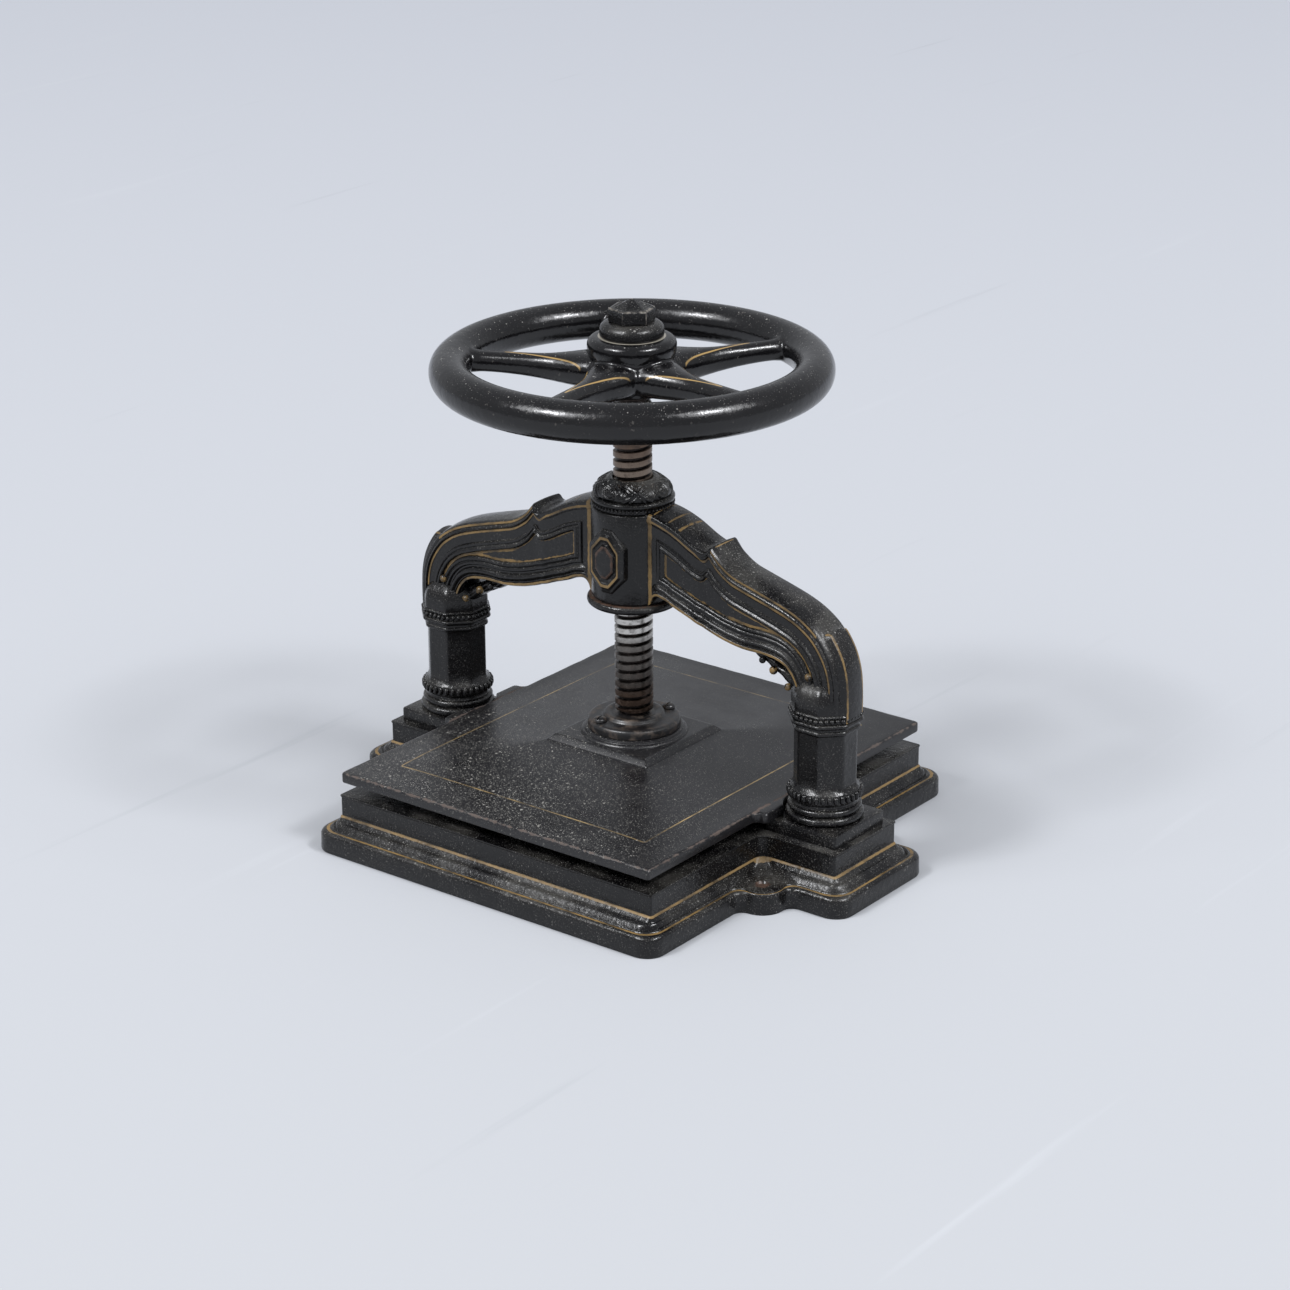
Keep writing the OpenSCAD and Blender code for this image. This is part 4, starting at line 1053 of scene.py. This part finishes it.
# Painted highlight: a pale line on the hub just outside the washer's foot, standing in for the light caught where the
# washer sits on the hub
flat = add(tree, "CombineXYZ", {0: axes.outputs[0], 1: axes.outputs[1]})
from_axis = add(tree, "VectorMath", {0: flat}, operation="LENGTH")
washer_foot_painted_highlight = add(tree, "MapRange", {"Value": from_axis, "From Min": 21.3 * MM, "From Max": 22.1 * MM, "To Min": 1,
                                   "To Max": 0})
on_hub = add(tree, "Math", {0: axes.outputs[2], 1: 336.5 * MM}, operation="GREATER_THAN")
washer_foot_painted_highlight = add(tree, "Math", {0: washer_foot_painted_highlight, 1: on_hub}, operation="MULTIPLY")
washer_foot_painted_highlight = add(tree, "Math", {0: washer_foot_painted_highlight, 1: clouds}, operation="MULTIPLY")
washer_foot_painted_highlight = add(tree, "Math", {0: washer_foot_painted_highlight, 1: 1.7}, operation="MULTIPLY", use_clamp=True)
colour = add(tree, "Mix", {"Factor": washer_foot_painted_highlight, "A": colour, "B": linear("#aaa497")}, data_type="RGBA")
# The gold line: half a leaf either side of each spoke's middle, open at the hub
LEAF_START, LEAF_END, LEAF_HALF = 30, 84, 16
round_hub = add(tree, "Math", {0: axes.outputs[1], 1: axes.outputs[0]}, operation="ARCTAN2")
apart = 2 * math.pi / SPOKES
round_hub = add(tree, "Math", {0: round_hub, 1: apart / 2 - math.radians(FIRST_SPOKE) + 4 * apart}, operation="ADD")
round_hub = add(tree, "Math", {0: round_hub, 1: apart}, operation="MODULO")
round_hub = add(tree, "Math", {0: round_hub, 1: apart / 2}, operation="SUBTRACT")
out_x = add(tree, "Math", {0: round_hub}, operation="COSINE")
out_x = add(tree, "Math", {0: out_x, 1: from_axis}, operation="MULTIPLY")
out_y = add(tree, "Math", {0: round_hub}, operation="SINE")
out_y = add(tree, "Math", {0: out_y, 1: from_axis}, operation="MULTIPLY")
out_y = add(tree, "Math", {0: out_y}, operation="ABSOLUTE")
along = add(tree, "MapRange", {"Value": out_x, "From Min": LEAF_START * MM, "From Max": LEAF_END * MM})
leaf_edge = add(tree, "FloatCurve", {"Value": along})
shape = leaf_edge.mapping.curves[0]
for x, y in ((0.1, 0.78), (0.22, 0.57), (0.4, 0.34), (0.62, 0.16)):
    shape.points.new(x, y)
shape.points[0].location = (0, 1)
shape.points[-1].location = (1, 0)
leaf_edge.mapping.update()
half_leaf = add(tree, "Math", {0: leaf_edge, 1: LEAF_HALF * MM}, operation="MULTIPLY")
off_line = add(tree, "Math", {0: out_y, 1: half_leaf}, operation="SUBTRACT")
off_line = add(tree, "Math", {0: off_line}, operation="ABSOLUTE")
line = add(tree, "MapRange", {"Value": off_line, "From Min": 0.3 * MM, "From Max": 0.6 * MM, "To Min": 1,
                              "To Max": 0})
for value, low, high in ((out_x, LEAF_START, LEAF_START + 1), (facing, 150, 300)):
    gate = add(tree, "MapRange", {"Value": value, "From Min": low * MM, "From Max": high * MM})
    line = add(tree, "Math", {0: line, 1: gate}, operation="MULTIPLY")
gate = add(tree, "MapRange", {"Value": out_x, "From Min": (LEAF_END - 1) * MM, "From Max": LEAF_END * MM,
                              "To Min": 1, "To Max": 0})
line = add(tree, "Math", {0: line, 1: gate}, operation="MULTIPLY")
rubbed = add(tree, "MapRange", {"Value": clouds, "From Min": 0.32, "From Max": 0.5, "To Min": 0.3, "To Max": 0.9})
line = add(tree, "Math", {0: line, 1: rubbed}, operation="MULTIPLY")
colour = add(tree, "Mix", {"Factor": line, "A": colour, "B": linear("#a08453")}, data_type="RGBA")
rough = add(tree, "MapRange", {"Value": clouds, "From Min": 0.35, "From Max": 0.7, "To Min": 0.12, "To Max": 0.24})
matt = add(tree, "Math", {0: dust, 1: chip}, operation="MAXIMUM")
rough = add(tree, "Math", {0: matt, 1: 0.35, 2: rough}, operation="MULTIPLY_ADD")
surface(tree, ((lumps, 0.7, 0.34), (pits, 0.6, 0.08)), Base_Color=colour, Roughness=rough, IOR=1.47)

wheel = piece("handwheel_casting", points, faces, "screw", "japanned_iron", [wheel_japan], ["handwheel"])
skin_over = wheel.modifiers.new("cast", "REMESH")
skin_over.mode = "VOXEL"
skin_over.voxel_size = 1.1 * MM
fillets = wheel.modifiers.new("fillets", "SMOOTH")
fillets.factor = 0.6
fillets.iterations = 9
bpy.context.view_layer.update()
apply_modifiers(wheel)
cut(wheel, boxes_and_rods("wheel_cutter", [((-8.55, -8.55, 295), (8.55, 8.55, 345))], []))
finish_piece(wheel, "screw", [wheel_japan], ["handwheel"], 60)


# ---- wheel washer and nut -------------------------------------------------------------------
# A thick round-shouldered washer and a hexagon nut with a low pyramid top hold the wheel on its
# square. Both were japanned with the wheel, and the nut's corners are worn grey by the spanner.

washer_profile = [(8.1, 337.05), (20.1, 337.05), (20.6, 337.5), (20.8, 338.4), (20.8, 341.6), (20.5, 343),
                  (19.7, 344.4), (18.4, 345.5), (16.8, 346.3), (15.2, 346.6), (13, 346.6), (8.1, 346.6)]
points, faces = tube_turned(washer_profile)
piece("hub_washer_turned", points, faces, "screw", "japanned_iron", [japan], ["hub_washer"], sharp=50,
      gilt=np.zeros(len(points)), rust=np.zeros(len(points)))


def hexagon(r, z, eased=0.05):
    corners = np.array([(math.cos(t), math.sin(t)) for t in np.radians(45 + 60 * np.arange(6))]) * r
    return level(eased_corners(corners, 5, eased), z)


nut_rings, wear = [], []
for r, z, rubbed in ((14.8, 346.7, 0.3), (15.3, 347.2, 0.6), (15.4, 348, 0.2), (15.4, 351, 0.2), (15.4, 354, 0.3),
                     (15.3, 354.9, 0.8), (14.9, 355.5, 1), (14.3, 355.9, 0.9), (13.6, 356.1, 0.6), (12.7, 356.1, 0.8),
                     (12.2, 355.7, 0.2), (11.6, 355.6, 0), (11, 355.9, 0.2), (6, 358.7, 0.1), (1.8, 360.9, 0.5),
                     (0.5, 361.2, 1)):
    nut_rings.append(hexagon(r, z))
    on_corner = np.tile([0.4, 0.9, 1, 0.9, 0.4], 6) * 0.9
    wear.append(np.maximum(rubbed, on_corner * (z < 355)))
points, faces = loft(nut_rings)
nut = piece("wheel_nut_hexagon", points, faces, "screw", "japanned_iron", [japan], ["wheel_nut"], sharp=24,
            gilt=np.zeros(len(points)), rust=np.zeros(len(points)), worn=np.concatenate(wear))
cut(nut, boxes_and_rods("nut_cutter", [], [(0, 0, 8.02, 8.02, 345, 353.4)]))
finish_piece(nut, "screw", [japan], ["wheel_nut"], 24)
